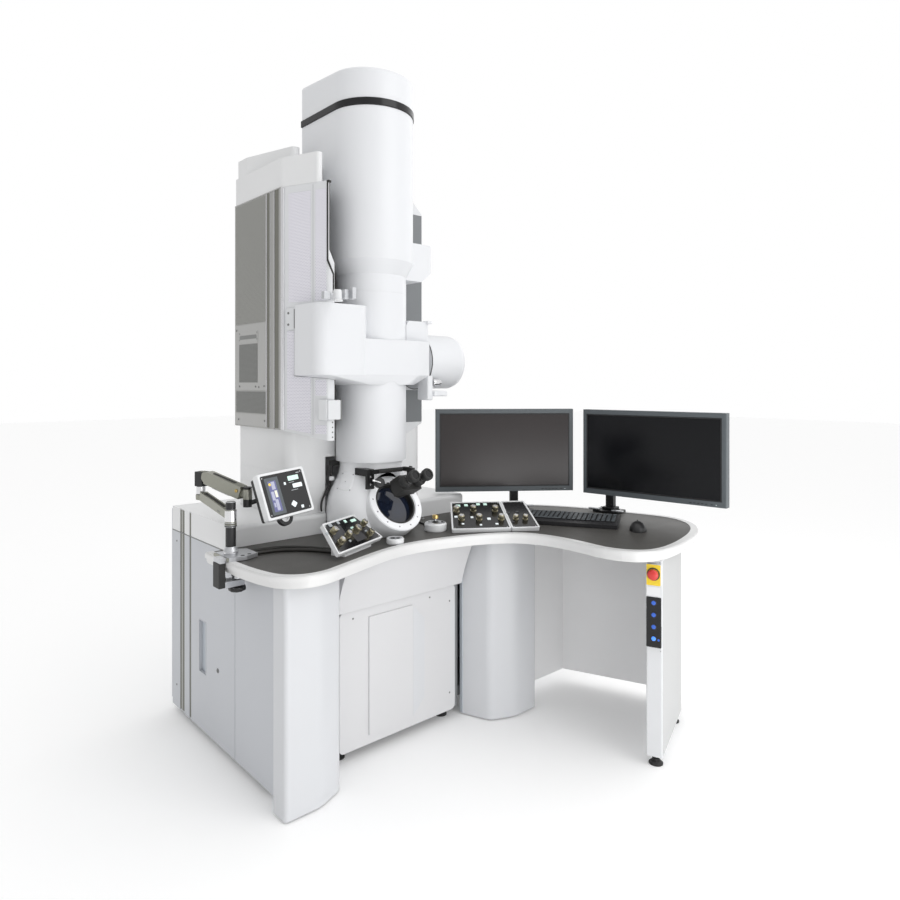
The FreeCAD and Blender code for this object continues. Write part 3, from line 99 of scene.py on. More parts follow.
def base(name, color, rough=.4, metal=0.0, spec=.5, coat=0.0, coat_rough=.1):
    m = bpy.data.materials.new(name)
    m.use_nodes = True
    nt = m.node_tree
    bsdf = nt.nodes["Principled BSDF"]
    bsdf.inputs["Base Color"].default_value = (*color, 1)
    bsdf.inputs["Roughness"].default_value = rough
    bsdf.inputs["Metallic"].default_value = metal
    bsdf.inputs["Specular IOR Level"].default_value = spec
    bsdf.inputs["Coat Weight"].default_value = coat
    bsdf.inputs["Coat Roughness"].default_value = coat_rough
    m.diffuse_color = (*color, 1)
    MATS[name] = m
    return m, nt, bsdf


def noise(nt, scale, detail=3.0, stretch=None, rough=.55):
    tc = nt.nodes.new("ShaderNodeTexCoord")
    mp = nt.nodes.new("ShaderNodeMapping")
    if stretch:
        mp.inputs["Scale"].default_value = stretch
    n = nt.nodes.new("ShaderNodeTexNoise")
    n.inputs["Scale"].default_value = scale
    n.inputs["Detail"].default_value = detail
    n.inputs["Roughness"].default_value = rough
    nt.links.new(tc.outputs["Object"], mp.inputs["Vector"])
    nt.links.new(mp.outputs["Vector"], n.inputs["Vector"])
    return n


def ramp(nt, src, stops):
    r = nt.nodes.new("ShaderNodeValToRGB")
    els = r.color_ramp.elements
    while len(els) < len(stops):
        els.new(.5)
    for e, (p, c) in zip(els, stops):
        e.position = p
        e.color = (*c, 1)
    nt.links.new(src, r.inputs["Fac"])
    return r


def bump(nt, bsdf, src, strength, dist):
    b = nt.nodes.new("ShaderNodeBump")
    b.inputs["Strength"].default_value = strength
    b.inputs["Distance"].default_value = dist
    nt.links.new(src, b.inputs["Height"])
    nt.links.new(b.outputs["Normal"], bsdf.inputs["Normal"])
    return b


def tint(c, k):
    return tuple(max(0, min(1, a * k)) for a in c)


def surface(name, color, rough=.4, metal=0.0, vary=.03, grain=700, grain_h=.00004, grain_s=.25, broad=3.0,
            rvary=.06, stretch=None, spec=.5, coat=0.0, coat_rough=.1):
    """Painted or moulded surface: slow colour drift, uneven roughness and a fine skin."""
    m, nt, bsdf = base(name, color, rough, metal, spec, coat, coat_rough)
    n1 = noise(nt, broad, 4)
    r1 = ramp(nt, n1.outputs["Fac"], [(.25, tint(color, 1 - vary)), (.75, tint(color, 1 + vary))])
    nt.links.new(r1.outputs["Color"], bsdf.inputs["Base Color"])
    n2 = noise(nt, grain, 3, stretch)
    mr = nt.nodes.new("ShaderNodeMapRange")
    mr.inputs["To Min"].default_value = rough - rvary
    mr.inputs["To Max"].default_value = rough + rvary
    nt.links.new(n2.outputs["Fac"], mr.inputs["Value"])
    nt.links.new(mr.outputs["Result"], bsdf.inputs["Roughness"])
    bump(nt, bsdf, n2.outputs["Fac"], grain_s, grain_h)
    return m


surface("white_paint", (.69, .70, .715), .42, vary=.012, grain=900, grain_h=.00003)
surface("column_white", (.735, .745, .765), .36, vary=.01, grain=700, grain_h=.00002, coat=.15, coat_rough=.25)
surface("chamber_white", (.92, .93, .95), .33, vary=.012, grain=600, grain_h=.00002, coat=.2, coat_rough=.2)
surface("leg_gray", (.50, .505, .505), .45, vary=.012, grain=900, grain_h=.00003)
# the modesty panel colour is raised above the other whites: painted light that lifts it out of the shade under the desk
surface("modesty_white", (.93, .93, .935), .45, vary=.01, grain=900, grain_h=.00003)
# the console colour is darkened below the other whites: painted shade for the console side that faces away from the
# light
surface("console_white", (.54, .555, .585), .45, vary=.012, grain=1100, grain_h=.00003)
surface("cover_white", (.75, .755, .76), .42, vary=.012, grain=900, grain_h=.00003)
surface("panel_light", (.65, .65, .66), .45, vary=.012, grain=900, grain_h=.00003)
surface("blue_gray", (.50, .54, .585), .4, vary=.02, grain=900)
surface("pillar_white", (.63, .64, .66), .42, vary=.012, grain=900)
surface("edge_white", (.73, .73, .728), .32, vary=.008, grain=600, grain_h=.00001, grain_s=.1, coat=.2, coat_rough=.2)
surface("plastic_white", (.78, .79, .80), .32, vary=.01, grain=1500, grain_h=.00002, coat=.15)
surface("black_plastic", (.014, .014, .015), .42, vary=.12, grain=2200, grain_h=.00004, grain_s=.4)
surface("black_soft", (.018, .0175, .0165), .55, vary=.12, grain=2600, grain_h=.00005, grain_s=.5)
surface("black_gloss", (.006, .006, .007), .2, vary=.2, grain=200, grain_h=.00001, grain_s=.1, spec=.35, coat=.15, coat_rough=.08)
surface("black_metal", (.02, .02, .021), .38, metal=.5, vary=.12, grain=1600)
surface("bezel_gray", (.10, .115, .125), .42, vary=.06, grain=2400, grain_h=.00003)
surface("dark_frame", (.20, .205, .20), .5, vary=.06, grain=900)
surface("frame_steel", (.30, .31, .32), .5, vary=.05, grain=300, grain_h=.0001)
surface("rubber", (.018, .018, .018), .62, vary=.15, grain=1500, grain_h=.0001, grain_s=.5)
surface("cable_black", (.022, .021, .018), .45, vary=.12, grain=1500, grain_h=.00005, grain_s=.4)
surface("red_button", (.62, .035, .03), .3, vary=.06, grain=600, coat=.3)
surface("yellow_plate", (.85, .62, .03), .4, vary=.03, grain=900)
surface("key_mint", (.50, .68, .62), .35, vary=.05, grain=800)
surface("key_gray", (.42, .45, .47), .4, vary=.05, grain=800)
surface("key_dark", (.05, .05, .055), .45, vary=.08, grain=1200)
surface("key_black", (.022, .022, .024), .48, vary=.1, grain=1800, grain_h=.00004)
surface("lens_glass", (.012, .014, .02), .06, vary=.1, grain=40, grain_h=.00001, grain_s=.05, coat=.8, coat_rough=.03)
surface("foam_dark", (.03, .03, .03), .8, vary=.2, grain=900, grain_h=.0003, grain_s=.6)


def brushed(name, color, rough, stretch, metal=.9, vary=.08, grain=60, spec=.5):
    m, nt, bsdf = base(name, color, rough, metal, spec)
    n = noise(nt, grain, 6, stretch, .65)
    r = ramp(nt, n.outputs["Fac"], [(.3, tint(color, 1 - vary)), (.7, tint(color, 1 + vary))])
    nt.links.new(r.outputs["Color"], bsdf.inputs["Base Color"])
    mr = nt.nodes.new("ShaderNodeMapRange")
    mr.inputs["To Min"].default_value = rough - .08
    mr.inputs["To Max"].default_value = rough + .1
    nt.links.new(n.outputs["Fac"], mr.inputs["Value"])
    nt.links.new(mr.outputs["Result"], bsdf.inputs["Roughness"])
    bump(nt, bsdf, n.outputs["Fac"], .12, .00006)
    return m


brushed("side_metal", (.40, .40, .388), .45, (60, 60, .6), metal=.55, vary=.06, grain=14)
brushed("flange_gray", (.21, .22, .228), .45, (60, 60, .6), metal=.5, vary=.05, grain=14)
brushed("side_metal_light", (.46, .46, .45), .4, (60, 60, .6), metal=.6, vary=.05, grain=14)
brushed("ridge_metal", (.74, .74, .76), .28, (60, 60, .6), metal=.7, vary=.04, grain=14)
brushed("chrome", (.72, .72, .73), .14, (1, 1, 8), metal=1.0, vary=.05, grain=60)
brushed("arm_aluminium", (.33, .33, .285), .36, (4, 4, 4), metal=.75, vary=.06, grain=90)
brushed("clamp_silver", (.55, .56, .58), .3, (3, 3, 3), metal=.8, vary=.08, grain=60)
brushed("steel", (.56, .56, .57), .25, (1, 1, 1), metal=1.0, vary=.06, grain=200)
brushed("knob_metal", (.46, .42, .30), .26, (1, 1, 30), metal=1.0, vary=.14, grain=120)
brushed("brass", (.60, .44, .18), .28, (1, 1, 1), metal=1.0, vary=.08, grain=200)
brushed("stripe_olive", (.17, .17, .145), .5, (40, 40, .6), metal=.3, vary=.06, grain=14)


def dotted(name, color, hole, pitch, radius, rough=.45, metal=0.0):
    """Fine punched sheet: staggered round holes on both upright directions of the plate."""
    m, nt, bsdf = base(name, color, rough, metal)
    tc = nt.nodes.new("ShaderNodeTexCoord")
    sep = nt.nodes.new("ShaderNodeSeparateXYZ")
    nt.links.new(tc.outputs["Object"], sep.inputs[0])

    def math_node(op, a, b=None, val=None):
        n = nt.nodes.new("ShaderNodeMath")
        n.operation = op
        nt.links.new(a, n.inputs[0])
        if b is not None:
            nt.links.new(b, n.inputs[1])
        elif val is not None:
            n.inputs[1].default_value = val
        return n.outputs[0]

    # along the plate: y distance is stretched to the plate's own slope by the caller's pitch
    yy = math_node("MULTIPLY", sep.outputs["Y"], val=1 / pitch)
    zz = math_node("MULTIPLY", sep.outputs["Z"], val=1 / (pitch * .866))
    row = math_node("FLOOR", zz)
    odd = math_node("MODULO", row, val=2.0)
    half = math_node("MULTIPLY", odd, val=.5)
    ys = math_node("ADD", yy, half)
    fy = math_node("SUBTRACT", math_node("FRACT", ys), val=.5)
    fz = math_node("SUBTRACT", math_node("FRACT", zz), val=.5)
    d2 = math_node("ADD", math_node("MULTIPLY", fy, fy), math_node("MULTIPLY", fz, fz))
    inside = math_node("LESS_THAN", d2, val=radius * radius)
    mix = nt.nodes.new("ShaderNodeMix")
    mix.data_type = "RGBA"
    mix.inputs[6].default_value = (*color, 1)
    mix.inputs[7].default_value = (*hole, 1)
    nt.links.new(inside, mix.inputs[0])
    nt.links.new(mix.outputs[2], bsdf.inputs["Base Color"])
    inv = math_node("MULTIPLY", inside, val=-1.0)
    bump(nt, bsdf, inv, .5, .0006)
    return m


dotted("mesh_white", (.80, .79, .84), (.50, .49, .56), .0062, .30)
dotted("mesh_gray", (.33, .33, .31), (.17, .17, .16), .0055, .30, metal=.4)
dotted("mesh_dark", (.24, .245, .235), (.10, .10, .095), .0055, .32, metal=.4)


def wood_inlay():
    m, nt, bsdf = base("inlay", (.030, .026, .021), .5)
    n = noise(nt, 500, 6)
    n2 = noise(nt, 9, 5)
    r = ramp(nt, n.outputs["Fac"], [(.35, (.052, .050, .046)), (.7, (.085, .082, .075))])
    nt.links.new(r.outputs["Color"], bsdf.inputs["Base Color"])
    mr = nt.nodes.new("ShaderNodeMapRange")
    mr.inputs["To Min"].default_value = .42
    mr.inputs["To Max"].default_value = .56
    nt.links.new(n2.outputs["Fac"], mr.inputs["Value"])
    nt.links.new(mr.outputs["Result"], bsdf.inputs["Roughness"])
    bump(nt, bsdf, n.outputs["Fac"], .35, .00012)
    return m


wood_inlay()


def screen_material(name, color, rough):
    m, nt, bsdf = base(name, color, rough)
    n = noise(nt, 2500, 2)
    r = ramp(nt, n.outputs["Fac"], [(.3, tint(color, .9)), (.7, tint(color, 1.1))])
    nt.links.new(r.outputs["Color"], bsdf.inputs["Base Color"])
    bump(nt, bsdf, n.outputs["Fac"], .1, .00001)
    return m


screen_material("screen_brown", (.018, .012, .012), .24)
screen_material("screen_black", (.004, .0045, .006), .16)
MATS["screen_black"].node_tree.nodes["Principled BSDF"].inputs["Specular IOR Level"].default_value = .22


def glow(name, color, strength):
    m, nt, bsdf = base(name, color, .35)
    n = noise(nt, 400, 3)
    r = ramp(nt, n.outputs["Fac"], [(.3, tint(color, .85)), (.7, color)])
    nt.links.new(r.outputs["Color"], bsdf.inputs["Base Color"])
    nt.links.new(r.outputs["Color"], bsdf.inputs["Emission Color"])
    bsdf.inputs["Emission Strength"].default_value = strength
    return m


glow("led_blue", (.06, .22, .85), 1.0)
glow("led_blue_dim", (.03, .10, .45), .5)
glow("led_mint", (.62, .85, .76), .35)
glow("led_white", (.78, .84, .86), .35)
glow("lcd_violet", (.13, .135, .28), .25)
glow("lcd_light", (.42, .43, .55), .25)
glow("lcd_beige", (.72, .72, .60), .3)
glow("lcd_yellow", (.80, .58, .08), .4)
glow("lens_amber", (.45, .30, .08), .25)
glow("core_green", (.05, .25, .18), .15)

glass_mat, gnt, gb = base("leaded", (.018, .028, .055), .07, coat=.5, coat_rough=.04)
gn = noise(gnt, 6, 3)
gr = ramp(gnt, gn.outputs["Fac"], [(.3, (.008, .011, .022)), (.7, (.018, .026, .05))])
gnt.links.new(gr.outputs["Color"], gb.inputs["Base Color"])
gb.inputs["IOR"].default_value = 1.6

NODE_MAT = {
    "base_frame": "frame_steel", "levelling_feet": "rubber", "console_panels": "console_white",
    "rear_cabinet_cover": "cover_white", "tower_lower_cover": "cover_white", "wing_covers": "white_paint",
    "tower_upper_cover": "cover_white", "column_upper_cover": "column_white", "column_cap": "column_white",
    "column_lower_cover": "column_white", "gonio_housing": "column_white", "gonio_cover": "column_white",
    "viewing_chamber": "chamber_white", "column_band": "black_gloss", "pillars": "pillar_white",
    "front_access_panel": "panel_light", "front_apron": "panel_light", "modesty_panel": "modesty_white",
    "desk_top": "inlay", "desk_edge": "edge_white", "wing_leg": "white_paint", "estop_button": "red_button",
    "tower_side_panels": "side_metal", "specimen_holder": "steel", "electron_column": "steel",
    "viewing_glass": "leaded", "binocular_bracket": "black_metal", "binocular": "black_soft",
    "arm_clamp_post": "clamp_silver", "arm_lower": "arm_aluminium", "arm_elbow": "black_plastic",
    "arm_upper": "arm_aluminium", "display_bracket": "black_plastic", "display_unit": "plastic_white",
    "monitor_left": "bezel_gray", "monitor_right": "bezel_gray", "monitor_stands": "black_metal",
    "control_box_left": "plastic_white", "control_box_right": "plastic_white", "control_pods": "plastic_white",
    "joystick": "steel", "keyboard": "key_black", "mouse": "black_plastic",
    "cable_left_back": "cable_black", "cable_left_front": "cable_black", "joystick_cable": "cable_black",
}
for name, obj in NODES.items():
    key = NODE_MAT.get(name, "knob_metal")
    obj.data.materials.clear()
    obj.data.materials.append(mat(key))


# ------------------------------------------------------------------ mesh helpers
def F(origin, xdir, zdir):
    """Frame: local x along xdir, local z along zdir, at origin (column millimetres)."""
    z = Vector(zdir).normalized()
    x = Vector(xdir)
    x = (x - z * x.dot(z)).normalized()
    y = z.cross(x)
    m = Matrix((x, y, z)).transposed().to_4x4()
    m.translation = Vector(origin)
    return m


ID = Matrix.Identity(4)
TO_ROW = Matrix.Scale(.001, 4) @ Matrix.Translation(Vector((-OX, -OY, 0)))


def emit(name, bm, frm, material, body, bevel=0, seg=2, smooth=True, slot=None, angle=35):
    me = bpy.data.meshes.new(name)
    bmesh.ops.transform(bm, matrix=TO_ROW @ frm, verts=bm.verts)
    bmesh.ops.recalc_face_normals(bm, faces=bm.faces)
    bm.to_mesh(me)
    bm.free()
    ob = bpy.data.objects.new(name, me)
    bpy.context.scene.collection.objects.link(ob)
    mats = material if isinstance(material, (list, tuple)) else [material]
    for mm in mats:
        me.materials.append(mat(mm))
    if bevel:
        b = ob.modifiers.new("Bevel", "BEVEL")
        b.width = bevel / 1000
        b.segments = seg
        b.limit_method = "ANGLE"
        b.angle_limit = math.radians(angle)
        b.harden_normals = False
    if smooth:
        for p in me.polygons:
            p.use_smooth = True
        try:
            me.set_sharp_from_angle(angle=math.radians(38))
        except AttributeError:
            pass
    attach(ob, body)
    return ob


def add_box(bm, x0, x1, y0, y1, z0, z1, mi=0, m=None):
    vs = [bm.verts.new(Vector(c)) for c in ((x0, y0, z0), (x1, y0, z0), (x1, y1, z0), (x0, y1, z0),
                                            (x0, y0, z1), (x1, y0, z1), (x1, y1, z1), (x0, y1, z1))]
    if m is not None:
        for v in vs:
            v.co = m @ v.co
    for f in ((0, 3, 2, 1), (4, 5, 6, 7), (0, 1, 5, 4), (1, 2, 6, 5), (2, 3, 7, 6), (3, 0, 4, 7)):
        fc = bm.faces.new([vs[i] for i in f])
        fc.material_index = mi
    return vs


def add_lathe(bm, pts, n=32, m=None, mi=0, arc=None):
    """Revolve (r, z) points about local z; ends on the axis close the solid."""
    rings = []
    for r, z in pts:
        if r < 1e-6:
            v = bm.verts.new(Vector((0, 0, z)))
            if m is not None:
                v.co = m @ v.co
            rings.append([v])
        else:
            ring = []
            for k in range(n):
                a = 2 * math.pi * k / n
                v = bm.verts.new(Vector((r * math.cos(a), r * math.sin(a), z)))
                if m is not None:
                    v.co = m @ v.co
                ring.append(v)
            rings.append(ring)
    for a, b in zip(rings, rings[1:]):
        for k in range(n):
            va = a[k % len(a)], a[(k + 1) % len(a)]
            vb = b[k % len(b)], b[(k + 1) % len(b)]
            if len(a) == 1 and len(b) == 1:
                continue
            if len(a) == 1:
                f = bm.faces.new((va[0], vb[1], vb[0]))
            elif len(b) == 1:
                f = bm.faces.new((va[0], va[1], vb[0]))
            else:
                f = bm.faces.new((va[0], va[1], vb[1], vb[0]))
            f.material_index = mi
    return rings


def rounded(pts):
    """Plan outline with rounded corners: (x, y, r) -> list of points."""
    out = []
    n = len(pts)
    for i in range(n):
        a, b, c = Vector(pts[i - 1][:2]), Vector(pts[i][:2]), Vector(pts[(i + 1) % n][:2])
        r = pts[i][2] if len(pts[i]) > 2 else 0
        if r <= 0:
            out.append(b)
            continue
        u, w = (a - b).normalized(), (c - b).normalized()
        half = math.acos(max(-1, min(1, u.dot(w)))) / 2
        d = r / math.tan(half)
        ctr = b + (u + w).normalized() * (r / math.sin(half))
        p, q = b + u * d, b + w * d
        a0 = math.atan2(p.y - ctr.y, p.x - ctr.x)
        a1 = math.atan2(q.y - ctr.y, q.x - ctr.x)
        da = (a1 - a0 + math.pi) % (2 * math.pi) - math.pi
        steps = max(3, int(abs(da) / .22))
        for k in range(steps + 1):
            t = a0 + da * k / steps
            out.append(ctr + Vector((math.cos(t), math.sin(t))) * r)
    return out


def add_prism(bm, pts, z0, z1, mi=0, m=None):
    lo = [bm.verts.new(Vector((p[0], p[1], z0))) for p in pts]
    hi = [bm.verts.new(Vector((p[0], p[1], z1))) for p in pts]
    if m is not None:
        for v in lo + hi:
            v.co = m @ v.co
    n = len(pts)
    fs = [bm.faces.new(list(reversed(lo))), bm.faces.new(hi)]
    for k in range(n):
        fs.append(bm.faces.new((lo[k], lo[(k + 1) % n], hi[(k + 1) % n], hi[k])))
    for f in fs:
        f.material_index = mi


def slab(name, pts, z0, z1, frm, material, body, bevel=.6, seg=2):
    bm = bmesh.new()
    add_prism(bm, rounded(pts), z0, z1)
    return emit(name, bm, frm, material, body, bevel, seg)


def rect(x0, x1, y0, y1, r=0):
    return [(x0, y0, r), (x1, y0, r), (x1, y1, r), (x0, y1, r)]


def boxes(name, items, frm, material, body, bevel=.8, seg=2):
    bm = bmesh.new()
    for it in items:
        add_box(bm, *it[:6], mi=it[6] if len(it) > 6 else 0)
    return emit(name, bm, frm, material, body, bevel, seg)


def lathe(name, pts, frm, material, body, n=48, bevel=0):
    bm = bmesh.new()
    add_lathe(bm, pts, n)
    return emit(name, bm, frm, material, body, bevel)


def screws(name, spots, material, body, r=4.0, h=1.6):
    """Pan-head screws with a socket, as one object: spots are (point, normal)."""
    bm = bmesh.new()
    for p, nrm in spots:
        nrm = Vector(nrm).normalized()
        x = Vector((0, 0, 1)) if abs(nrm.z) < .9 else Vector((1, 0, 0))
        m = F(p, x, nrm)
        add_lathe(bm, [(0, -1), (r, -1), (r, h * .55), (r * .8, h), (r * .42, h), (r * .42, h * .3), (0, h * .3)], 14, m)
    return emit(name, bm, ID, material, body)


def tube(name, points, r, material, body, res=10, order=3):
    cu = bpy.data.curves.new(name, "CURVE")
    cu.dimensions = "3D"
    sp = cu.splines.new("NURBS")
    sp.points.add(len(points) - 1)
    for q, p in zip(sp.points, points):
        q.co = (*P(*p), 1)
    sp.order_u = order
    sp.use_endpoint_u = True
    sp.resolution_u = res
    cu.bevel_depth = r / 1000
    cu.bevel_resolution = 4
    cu.use_fill_caps = True
    ob = bpy.data.objects.new(name, cu)
    cu.materials.append(mat(material))
    bpy.context.scene.collection.objects.link(ob)
    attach(ob, body)
    return ob


# ------------------------------------------------------------------ cords
def cord(node_name, route, z, r):
    piece = tube(node_name + "_run", [(x, y, z) for x, y in route], r, "cable_black", "console", res=14)
    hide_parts(node_name)
    return piece


cord("cable_left_back", [(-541, -48), (-496, -48), (-446, -58), (-402, -84), (-368, -124), (-326.82, -183.63),
                         (-302.99, -238.70)], 773.3, 6)
cord("cable_left_front", [(-541, -84), (-500, -84), (-456, -97), (-416, -124), (-381, -160), (-346.96, -207.59),
                          (-328.69, -249.81)], 773.3, 6)
cord("joystick_cable", [(194.85, -131.99), (203.5, -105.36), (213, -64), (216.5, -22), (214, 20), (214, 62)],
     771.3, 4)

# ------------------------------------------------------------------ helpers on planes
CAM_AT = Vector((-1612, -2273, 1350))


def pix(u, v, frm, z=0.0):
    """Local (x, y) on a frame's plane, at height z, seen at picture point (u, v)."""
    a, b = (u - 450) / 693, (383 - v) / 693
    d = Vector((.667 + .745 * a, .745 - .667 * a, b))
    inv = frm.inverted()
    o, dd = inv @ CAM_AT, inv.to_3x3() @ d
    t = (z - o.z) / dd.z
    p = o + dd * t
    return (p.x, p.y)


def ccw(pts):
    s = sum(a[0] * b[1] - b[0] * a[1] for a, b in zip(pts, pts[1:] + pts[:1]))
    return pts if s > 0 else list(reversed(pts))


def plates(name, items, frm, material, body, bevel=.4, seg=2):
    """Flat plates on a frame: items are (outline with radii, z0, z1[, material index])."""
    bm = bmesh.new()
    for it in items:
        add_prism(bm, rounded(ccw(it[0])), it[1], it[2], it[3] if len(it) > 3 else 0)
    return emit(name, bm, frm, material, body, bevel, seg)


def quad(frm, corners, z=0.0, r=0):
    return [(*pix(u, v, frm, z), r) for u, v in corners]


def ring(name, outer, inner, z0, z1, frm, material, body, bevel=.8, seg=3):
    bm = bmesh.new()
    a, b = rounded(ccw(outer)), rounded(ccw(inner))
    loops = []
    for pts, z in ((a, z0), (a, z1), (b, z1), (b, z0)):
        loops.append([bm.verts.new(Vector((p[0], p[1], z))) for p in pts])
    n = len(a)
    for q in range(4):
        lo, hi = loops[q], loops[(q + 1) % 4]
        for k in range(n):
            bm.faces.new((lo[k], lo[(k + 1) % n], hi[(k + 1) % n], hi[k]))
    return emit(name, bm, frm, material, body, bevel, seg)


def turned(bm, frm, pts, n=24, mi=0):
    add_lathe(bm, pts, n, frm, mi)


# ------------------------------------------------------------------ tower
WF = F((-344, 99, 0), (.379, -.925, 0), (-.925, -.379, 0))
plates("wing_mesh_upper", [(rect(37, 139, 1652, 2060, 2), 0, .7), (rect(160, 209, 1652, 2060, 2), 0, .7)],
       WF, "mesh_white", "console", .2)
plates("wing_mesh_lower", [([(30, 1178, 2), (139, 1164, 2), (139, 1372, 2), (62, 1372, 2), (62, 1545, 2), (30, 1545, 2)], 0, .7),
                           (rect(160, 209, 1164, 1196, 2), 0, .7), (rect(160, 209, 1304, 1362, 2), 0, .7)],
       WF, "mesh_white", "console", .2)
plates("wing_rib", [([(141, 1158), (158, 1155), (158, 1370), (141, 1370)], 0, 1.2), (rect(141, 158, 1645, 2082, 0), 0, 1.2)],
       WF, "white_paint", "console", .5)
plates("wing_seam", [(rect(149.2, 150.4, 1160, 1370, 0), 1.2, 1.5), (rect(149.2, 150.4, 1645, 2080, 0), 1.2, 1.5)],
       WF, "dark_frame", "console", .1)
plates("wing_ridge", [([(1, 1174, 0), (17, 1172, 0), (17, 2086, 0), (1, 2086, 0)], 0, 4.5)], WF, "ridge_metal", "console", 3.6, 5)
plates("wing_bracket", [(rect(30, 80, 1549, 1630, 3), .7, 6)], WF, "white_paint", "console", 1.2)
plates("wing_bracket_slot", [(rect(66, 69, 1553, 1626, 1), 6, 6.3)], WF, "black_soft", "console", .1)
screws("wing_screws", [(WF @ Vector((40, 1568, 6)), (-.925, -.379, 0)), (WF @ Vector((40, 1611, 6)), (-.925, -.379, 0))],
       "dark_frame", "console", 4.5, 2)
boxes("wing_hinge", [(182, 219, 1214, 1290, .7, 13)], WF, "white_paint", "console", 2.5, 3)
boxes("wing_hinge_slot", [(176, 181.5, 1220, 1284, .7, 5)], WF, "column_white", "console", 1)
boxes("wing_hinge_wrap", [(-270, -216, -115, -103, 1216, 1288)], ID, "white_paint", "console", 3, 3)
boxes("wing_hinge_edge", [(-216, -213, -116, -102, 1213, 1291)], ID, "dark_frame", "console", .4)
bm = bmesh.new()
for path in ([(-258, 2086), (-258, 1836), (-236, 1790), (-236, 1641)], [(-236, 1378), (-236, 1141)]):
    for (xa, za), (xb, zb) in zip(path, path[1:]):
        add_prism(bm, [Vector((xa, zb)), Vector((xb + .01, zb)), Vector((xb + 4.5, zb)), Vector((xa + 4.5, za)), Vector((xa, za))]
                  if xa == xb else [Vector((xb, zb)), Vector((xb + 4.5, zb)), Vector((xa + 4.5, za)), Vector((xa, za))],
                  -1.5, 1.5)
emit("wing_gap", bm, F((0, -99, 0), (1, 0, 0), (0, -1, 0)), "black_soft", "console", .3)
boxes("wing_gap_cap", [(-262, -250, -104, -92, 2080, 2089)], ID, "black_soft", "console", 1)
screws("wing_edge_screws", [(Vector((-243, -101, z)), (0, -1, 0)) for z in (1152, 1170, 1188, 1206)], "dark_frame", "console", 3, 1.2)

TF = F((-344, 0, 0), (0, -1, 0), (-1, 0, 0))
plates("tower_side_upper", [(rect(-487, -219, 1592, 2082, 2), 0, .8)], TF, "mesh_gray", "console", .2)
plates("tower_side_frame", [(rect(-489, -219, 1322, 1588, 3), 0, 1.4), (rect(-489, -219, 1178, 1226, 3), 0, 1.2)], TF,
       "side_metal_light", "console", .5)
plates("tower_vent_strip", [(rect(-456, -284, 1512, 1560, 3), 1.4, 2.6)], TF, "side_metal_light", "console", .4)
plates("tower_vent_slots", [(rect(-446, -294, 1528, 1544, 6), 2.6, 3.0)], TF, "dark_frame", "console", .1)
plates("tower_vent_mesh", [(rect(-452, -288, 1352, 1508, 3), 1.4, 2.2), (rect(-482, -222, 1230, 1316, 2), 0, .8)], TF,
       "mesh_dark", "console", .2)
plates("tower_seams", [(rect(-215.5, -211, 1178, 2086, 0), 0, 2.6), (rect(-152, -149, 1178, 2086, 0), 0, 1.6),
                       (rect(-186, -183.5, 1178, 2086, 0), 0, 1.2)], TF, "ridge_metal", "console", .8)
plates("tower_side_shade", [(rect(-208, -188, 1178, 2086, 0), 0, .6), (rect(-147, -118, 1178, 2086, 0), 0, .6)], TF,
       "stripe_olive", "console", .1)
screws("tower_screws", [(Vector((-345.2, y, z)), (-1, 0, 0)) for y, z in
                        ((458, 1200), (227, 1202), (477, 1568), (446, 1552), (291, 1552), (446, 1526), (291, 1526),
                         (449, 1336), (304, 1336), (277, 1334), (232, 1338))], "dark_frame", "console", 4.2, 1.8)
boxes("tower_top_lip", [(-346, -341, 101, 494, 2086, 2090)], ID, "side_metal_light", "console", .6)
plates("flange_strip", [(rect(183, 226, 1606, 2126, 0), 0, 1.2)], F((0, 70, 0), (1, 0, 0), (0, -1, 0)), "flange_gray",
       "console", .4)
plates("flange_face", [(rect(232, 318, 1606, 2080, 0), 0, .8), (rect(183, 318, 1182, 1320, 0), 0, .8)],
       F((0, 70, 0), (1, 0, 0), (0, -1, 0)), "flange_gray", "console", .3)
boxes("flange_ridge", [(226, 231, 66, 70.5, 1604, 1770)], ID, "ridge_metal", "console", 1.5, 3)
boxes("stage_bracket_plate", [(222, 292, -132, -60, 1296, 1318)], ID, "column_white", "console", 5, 4)
boxes("stage_bracket_arm", [(196, 224, -120, -50, 1280, 1380)], ID, "column_white", "console", 6, 4)
bm = bmesh.new()
turned(bm, F((226, -112, 1352), (0, 1, 0), (1, 0, 0)), [(0, 0), (14, 0), (15, 3), (15, 30), (12, 33), (12, 40), (0, 40)], 24)
turned(bm, F((240, -92, 1330), (1, 0, 0), (0, 0, 1)), [(0, 0), (7, 0), (7, 30), (0, 30)], 16)
emit("stage_knob", bm, ID, "chrome", "console", .4)
ring("cover_seal", [(x, y, 0) for x, y in [(117 * math.cos(k * math.pi / 24), 117 * math.sin(k * math.pi / 24)) for k in range(48)]],
     [(x, y, 0) for x, y in [(104 * math.cos(k * math.pi / 24), 104 * math.sin(k * math.pi / 24)) for k in range(48)]],
     -1.6, 1.6, F((224, 0, 1440), (0, 1, 0), (1, 0, 0)), "black_soft", "console", .5)
boxes("stage_lip", [(206, 232, -106, 96, 1592, 1604)], ID, "column_white", "console", 4, 4)

